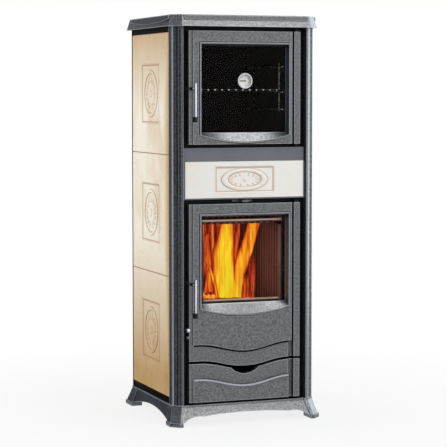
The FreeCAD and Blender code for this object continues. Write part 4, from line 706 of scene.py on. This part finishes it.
def rear_screws():
    """Screws down both sides and at both ends of the rear panel, and four on the flue collar's flange."""
    low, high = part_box("rear_panel")
    heights = np.linspace(low.z + PANEL_MARGIN, high.z - PANEL_MARGIN, PANEL_ROWS)
    sides = [(x, high.y, z) for z in heights for x in (low.x + PANEL_INSET, high.x - PANEL_INSET)]
    ends = [(x, high.y, z) for x in (-PANEL_END_X, PANEL_END_X)
            for z in (low.z + PANEL_END_INSET, high.z - PANEL_END_INSET)]
    domes("rear_panel_screws", sides + ends, (0, 1, 0), PANEL_SCREW, "stove_body", "dark_steel")
    low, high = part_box("flue_collar")
    ring = (high.x - low.x) / 2 - FLANGE_INSET
    spots = [(ring * math.cos(turn), low.y + FLANGE_THICK, FLUE_HEIGHT + ring * math.sin(turn))
             for turn in math.pi / 4 + np.arange(4) * math.pi / 2]
    domes("flue_flange_screws", spots, (0, 1, 0), FLANGE_SCREW, "stove_body", "dark_steel")


def clip_screws(node, body):
    """Three screws in the clips at each side of a pane."""
    low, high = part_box(node)
    places = [(side * (high.x - CLIP_SIDE_INSET), high.y, z) for side in (-1, 1)
              for z in (low.z + CLIP_END_INSET, (low.z + high.z) / 2, high.z - CLIP_END_INSET)]
    domes(node + "_screws", places, (0, 1, 0), CLIP_SCREW, body, "dark_steel")


def wire_ends():
    """Bright rounded ends on the rack's rods and on the side rungs, as the dome of the screw heads: a painted
    glint.
    """
    low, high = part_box("oven_rack")
    rods = [(ROD_PITCH * (number - (ROD_COUNT - 1) / 2), low.y + ROD_END_SINK, high.z - ROD_RADIUS)
            for number in range(ROD_COUNT)]
    domes("rack_rod_ends", rods, (0, -1, 0), ROD_END_SHARE * ROD_RADIUS, "rack", "chrome", GLINT_END)
    low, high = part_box("rack_rails")
    rungs = [(x, low.y, z) for x in (low.x + 2 * RUNG_RADIUS, high.x - 2 * RUNG_RADIUS)
             for z in (low.z + RUNG_LOW, low.z + RUNG_RACK, high.z - RUNG_HIGH)]
    domes("rail_rung_ends", rungs, (0, -1, 0), RUNG_END_SHARE * RUNG_RADIUS, "stove_body", "chrome",
          GLINT_END)


wire_ends()
rear_screws()
clip_screws("oven_glass_clips", "oven_door")
clip_screws("fire_glass_clips", "fire_door")


# Dark sheet behind the front skirt: painted shade in the slot

SHADE_SHEET_HALF, SHADE_SHEET_REACH, SHADE_SHEET_RUN, SHADE_SHEET_GAP, SHADE_SHEET_FOLD = 0.205, 0.0305, 0.0225, 0.0003, 0.006
SHADE_SHEET_FLAT_SHARE = 0.75


def slot_shade_sheet():
    """A black sheet, painted shade, that closes the slot between front skirt and bottom plate: flat, then
    folded down.

    It starts before the plate's front edge, a hair lower than the plate."""
    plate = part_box("bottom_plate")[0]
    across, run = np.meshgrid(np.linspace(-SHADE_SHEET_HALF, SHADE_SHEET_HALF, 12), np.linspace(0, 1, 9), indexing="ij")
    deep = plate.y - SHADE_SHEET_REACH + SHADE_SHEET_RUN * np.clip(run / SHADE_SHEET_FLAT_SHARE, 0, 1)
    fold = SHADE_SHEET_FOLD * np.clip((run - SHADE_SHEET_FLAT_SHARE) / (1 - SHADE_SHEET_FLAT_SHARE), 0, 1)
    points = np.stack([across, deep, plate.z - SHADE_SHEET_GAP - fold], axis=-1)
    piece("slot_shade_sheet", [points], FINISHES["black_steel"], "stove_body", "black_steel", closed=False)


slot_shade_sheet()


# The fire: logs on the grate, coals on the front log, and tongues of flame

def log(name, start, end, radius, glow):
    """A split log: a rounded wedge section carried along a line, roughened by sines along and around it.

    Its ends are given from the grate up."""
    start, end = np.array(start) + (0, 0, FIRE_FLOOR), np.array(end) + (0, 0, FIRE_FLOOR)
    along = np.linspace(0, 1, 40)
    angle = np.linspace(0, 2 * np.pi, 36, endpoint=False)
    axis = (end - start) / np.linalg.norm(end - start)
    side = np.cross(axis, (0, 0, 1))
    side /= np.linalg.norm(side)
    lift = np.cross(side, axis)
    wedge = 0.86 + 0.14 * np.cos(3 * angle + 0.4)
    bark = 0.05 * np.sin(9 * angle[None] + 5 * along[:, None]) * np.sin(31 * along[:, None] + 3 * angle[None])
    ends = np.sqrt(np.clip(1 - (2 * along - 1) ** 16, 0, 1))
    size = radius * (wedge[None] + bark) * ends[:, None]
    points = (start + along[:, None, None] * (end - start) + (size * np.cos(angle))[..., None] * side
              + (size * np.sin(angle))[..., None] * lift)
    heat = glow * (0.55 + 0.45 * np.sin(7 * along[:, None] + 2 * angle[None]))
    piece(name, [points], LOG_FINISH, "stove_body", "fire_iron", round_columns=True, closed=False,
          pool=np.clip(heat, 0, 1))


def coals():
    """Round coals at the left of the front log: a circle's profile turned upright at each place."""
    turn = np.linspace(-math.pi / 2, math.pi / 2, 13)
    profile = np.stack([COAL_RADIUS * np.cos(turn), COAL_RADIUS * np.sin(turn)], axis=-1)
    balls = [turned(profile, (across, COAL_DEPTH, COAL_HEIGHT), (0, 0, 1)) for across in COAL_PLACES]
    piece("coals", balls, live_coal("live coal"), "stove_body", "fire_iron", round_columns=True)


def flame(name, line, widths, heats, depth, edge=2.0, reach=1.0):
    """A tongue of fire: a sheet about a bent line of three points, with widths and heats at them.

    A point is a place across and a height above the foot of the flames. Every value runs as a quadratic
    curve through its three given values, drawn for the share that reach gives; heat falls to both edges,
    the more suddenly the greater edge is."""
    rise, across = np.meshgrid(np.linspace(0, reach, 80), np.linspace(-1, 1, 25), indexing="ij")

    def through(values):
        foot, middle, tip = values
        return foot + rise * (4 * middle - 3 * foot - tip) + rise ** 2 * (2 * foot - 4 * middle + 2 * tip)

    xs, heights = zip(*line)
    half = np.maximum(through(widths), 0.0005) / 2
    curl = 0.10 * half * np.sin(9 * rise + 40 * xs[0])
    deep = depth + 0.3 * half * across ** 2
    points = np.stack([through(xs) + across * half + curl, deep, FLAME_FOOT + through(heights)], axis=-1)
    blaze = through(heats) * (1 - np.abs(across) ** edge)
    blaze = blaze * smooth_step(1 - rise, 0.0, 0.12)
    piece(name, [points], FLAME_FINISH, "stove_body", "fire_iron", closed=False, blaze=blaze)


LOG_FINISH = charred_wood("charred log")
FLAME_FINISH = fire_glow("flame")
FLAME_FOOT = FIRE_FLOOR + 0.0297
COAL_RADIUS, COAL_HEIGHT, COAL_DEPTH = 0.0075, FIRE_FLOOR + 0.0567, -0.070
COAL_PLACES = (-0.086, -0.071, -0.056)
LOGS = [
    ("log_rear", (-0.112, 0.030, 0.033), (0.100, 0.022, 0.036), 0.033, 0.5),
    ("log_front", (-0.115, -0.075, 0.026), (0.085, -0.090, 0.025), 0.027, 0.9),
    ("log_left", (-0.110, -0.080, 0.062), (-0.060, 0.020, 0.066), 0.020, 1.0),
]
FLAMES = [
    ("flame_haze", ((-0.015, 0.0), (-0.018, 0.16), (-0.010, 0.33)),
     (0.21, 0.22, 0.21), (0.34, 0.32, 0.24), -0.005, 4.0, 0.82),
    ("flame_branch", ((-0.030, 0.07), (-0.043, 0.19), (-0.050, 0.31)),
     (0.056, 0.032, 0.012), (0.74, 0.60, 0.42), -0.040, 2.0, 0.84),
    ("flame_lobe", ((-0.052, 0.04), (-0.066, 0.15), (-0.060, 0.25)),
     (0.034, 0.048, 0.016), (0.52, 0.60, 0.40), -0.042),
    ("flame_branch_right", ((0.034, 0.13), (0.044, 0.21), (0.052, 0.31)),
     (0.018, 0.026, 0.014), (0.44, 0.40, 0.34), -0.030, 2.0, 0.82),
    ("flame_edge", ((-0.088, 0.12), (-0.086, 0.21), (-0.077, 0.31)),
     (0.010, 0.014, 0.010), (0.56, 0.72, 0.66), -0.048, 2.0, 0.80),
    ("flame_fork", ((0.038, 0.005), (0.061, 0.14), (0.116, 0.30)),
     (0.036, 0.054, 0.044), (0.90, 0.84, 0.66), -0.046, 5.0, 0.90),
    ("flame_core", ((0.004, 0.005), (-0.006, 0.14), (0.003, 0.30)),
     (0.082, 0.092, 0.034), (1.10, 1.06, 0.78), -0.052, 3.0, 0.90),
    ("flame_strand", ((-0.037, 0.015), (-0.056, 0.095), (-0.090, 0.18)),
     (0.014, 0.013, 0.008), (0.80, 0.74, 0.62), -0.062),
    ("flame_strand_low", ((-0.080, 0.025), (-0.076, 0.07), (-0.067, 0.13)),
     (0.014, 0.011, 0.005), (0.66, 0.62, 0.50), -0.060),
    ("flame_low_right", ((0.080, 0.005), (0.081, 0.08), (0.084, 0.17)),
     (0.054, 0.052, 0.040), (0.52, 0.30, 0.12), -0.050, 8.0),
]
for log_values in LOGS:
    log(*log_values)
coals()
for flame_values in FLAMES:
    flame(*flame_values)


# Stage, light and camera

AMBIENT = 0.56
FLOOR_REACH, FLOOR_FADE, FLOOR_WHITE = 8.0, (0.4, 1.6), 0.84
CLOTH_LIFT, CLOTH_HEAD = 0.002, 3.0
CLOTH = (((-0.27, -0.30), (-3.5, -2.4)), ((-0.27, 0.0), (-3.5, 1.3)), ((-0.27, 0.40), (-0.75, 2.6)))
BOARD, BOARD_HEAD, BOARD_GLOW = ((3.2, -2.6), (3.4, -0.5), (2.5, 2.3)), 2.6, 3.4
MIDDLE = (0, 0, 0.66)
FIRELIGHT_PLACE, FIRELIGHT_POWER, FIRELIGHT_SIZE = (0.0, -0.09, FIRE_FLOOR + 0.16), 0.6, 0.05
EYE_LENS, EYE_SENSOR = 140.1, 36
EYE_PLACE = (-2.050, -5.455, 1.067)
EYE_TURN = (85.75, 0.0, -20.66)


def world():
    """Soft even light; white to the camera, in mirrors and through glass."""
    scene_world = bpy.data.worlds.new("studio")
    bpy.context.scene.world = scene_world
    scene_world.use_nodes = True
    tree = scene_world.node_tree
    rays = tree.nodes.new("ShaderNodeLightPath").outputs
    seen = rays["Is Camera Ray"]
    for ray in ("Is Transmission Ray", "Is Glossy Ray"):
        either = tree.nodes.new("ShaderNodeMath")
        either.operation = "MAXIMUM"
        tree.links.new(seen, either.inputs[0])
        tree.links.new(rays[ray], either.inputs[1])
        seen = either.outputs[0]
    strength = tree.nodes.new("ShaderNodeMapRange")
    strength.inputs["To Min"].default_value = AMBIENT
    strength.inputs["To Max"].default_value = 1.0
    tree.links.new(seen, strength.inputs["Value"])
    back = tree.nodes["Background"]
    back.inputs["Color"].default_value = (1, 1, 1, 1)
    tree.links.new(strength.outputs[0], back.inputs["Strength"])


def stage_sheet(name, corners, finish):
    """A studio surface from a grid of corners."""
    mesh = bpy.data.meshes.new(name)
    mesh.from_pydata(corners.reshape(-1, 3).tolist(), [], grid_faces(*corners.shape[:2]).tolist())
    mesh.materials.append(finish.material)
    item = linked(name, mesh)
    return item


def floor():
    """A wide pale floor, nearly white to the camera, in mirrors and through glass; a soft shadow stays."""
    finish = Finish("pale floor", roughness=0.8, specular_ior_level=0.0)
    grain = finish.noise(3, 2.0)
    finish.set("Base Color", finish.ramp(grain, (0.3, tint(204, 205, 207)), (0.7, tint(210, 211, 213))))
    rays = finish.add("ShaderNodeLightPath").outputs
    seen = rays["Is Camera Ray"]
    for ray in ("Is Glossy Ray", "Is Transmission Ray"):
        seen = finish.math("MAXIMUM", seen, rays[ray])
    white = finish.add("ShaderNodeEmission", {"Color": (1, 1, 1, 1), "Strength": 1.0}).outputs[0]
    away = finish.add("ShaderNodeVectorMath", {0: finish.place}, operation="LENGTH").outputs["Value"]
    share = finish.span(away, *FLOOR_FADE, FLOOR_WHITE, 1.0)
    mixed = finish.add("ShaderNodeMixShader", {0: finish.times(seen, share)})
    finish.feed(mixed, 1, finish.shader.outputs[0])
    finish.feed(mixed, 2, white)
    finish.feed(finish.tree.nodes["Material Output"], "Surface", mixed.outputs[0])
    ends = (-FLOOR_REACH, FLOOR_REACH)
    stage_sheet("floor", np.array([[(x, y, 0.0) for y in ends] for x in ends]), finish)


def mirrored_sheet(name, corners, finish):
    """A studio surface out of the picture that is only mirrored in the stove."""
    item = stage_sheet(name, corners, finish)
    item.visible_camera = False
    item.visible_diffuse = False
    item.visible_transmission = False
    item.visible_shadow = False


def screens():
    """A dark cloth on the floor and up a wall at the stove's left, and a pale blue board at its right."""
    cloth = Finish("flag cloth", roughness=1.0, specular_ior_level=0.0)
    weave = cloth.noise(4, 2.0)
    cloth.set("Base Color", cloth.ramp(weave, (0.3, tint(34, 36, 42)), (0.7, tint(52, 54, 60))))
    rows = [[(*near, CLOTH_LIFT), (*far, CLOTH_LIFT), (*far, CLOTH_HEAD)] for near, far in CLOTH]
    mirrored_sheet("flag", np.array(rows), cloth)
    board = Finish("sheen board", base_color=(0, 0, 0, 1), specular_ior_level=0.0)
    drift = board.noise(1, 2.0)
    board.set("Emission Color", board.ramp(drift, (0.3, tint(226, 242, 255)), (0.7, tint(236, 247, 255))))
    board.set("Emission Strength", BOARD_GLOW)
    board.material.cycles.emission_sampling = "NONE"
    rows = [[(*place, height) for height in (0.0, BOARD_HEAD)] for place in BOARD]
    mirrored_sheet("board", np.array(rows), board)


def firelight():
    """The warm light that the flames throw on the firebox linings."""
    light = bpy.data.lights.new("firelight", "POINT")
    light.energy = FIRELIGHT_POWER
    light.color = (1.0, 0.55, 0.4)
    light.shadow_soft_size = FIRELIGHT_SIZE
    item = linked("firelight", light)
    item.location = FIRELIGHT_PLACE
    item.visible_glossy = False
    item.visible_transmission = False


def aim(place, target):
    """Rotation that points -Z from a place to a target with +Y up."""
    way = np.array(target, float) - np.array(place, float)
    across = math.hypot(way[0], way[1])
    return (math.atan2(across, -way[2]), 0, math.atan2(-way[0], way[1]))


def softbox(name, place, size, power, color=(1, 1, 1), mirrored=True):
    """A lamp aimed at the stove's middle, mirrored in it or not."""
    light = bpy.data.lights.new(name, "AREA")
    light.shape = "RECTANGLE"
    light.size, light.size_y = size
    light.energy = power
    light.color = color
    item = linked(name, light)
    item.location = place
    item.rotation_euler = aim(place, MIDDLE)
    item.visible_glossy = mirrored
    item.visible_transmission = False


def camera():
    """The photograph's eye: left of the stove, above half its height, with a long lens."""
    lens = bpy.data.cameras.new("eye")
    lens.sensor_width = EYE_SENSOR
    lens.lens = EYE_LENS
    item = linked("eye", lens)
    item.location = EYE_PLACE
    item.rotation_euler = tuple(math.radians(turn) for turn in EYE_TURN)
    bpy.context.scene.camera = item


world()
floor()
screens()
firelight()
softbox("key", place=(1.55, -3.7, 2.95), size=(1.2, 1.5), power=28)
softbox("overhead", place=(1.1, -1.25, 3.2), size=(1.3, 1.4), power=29)
softbox("right", place=(3.0, 0.9, 1.1), size=(2.4, 2.6), power=24, color=(0.93, 0.97, 1.0), mirrored=False)
softbox("left", place=(-3.1, 0.9, 1.4), size=(0.8, 2.4), power=52, color=(1.0, 0.98, 0.95), mirrored=False)
camera()
view = bpy.context.scene.view_settings
view.view_transform = "Standard"
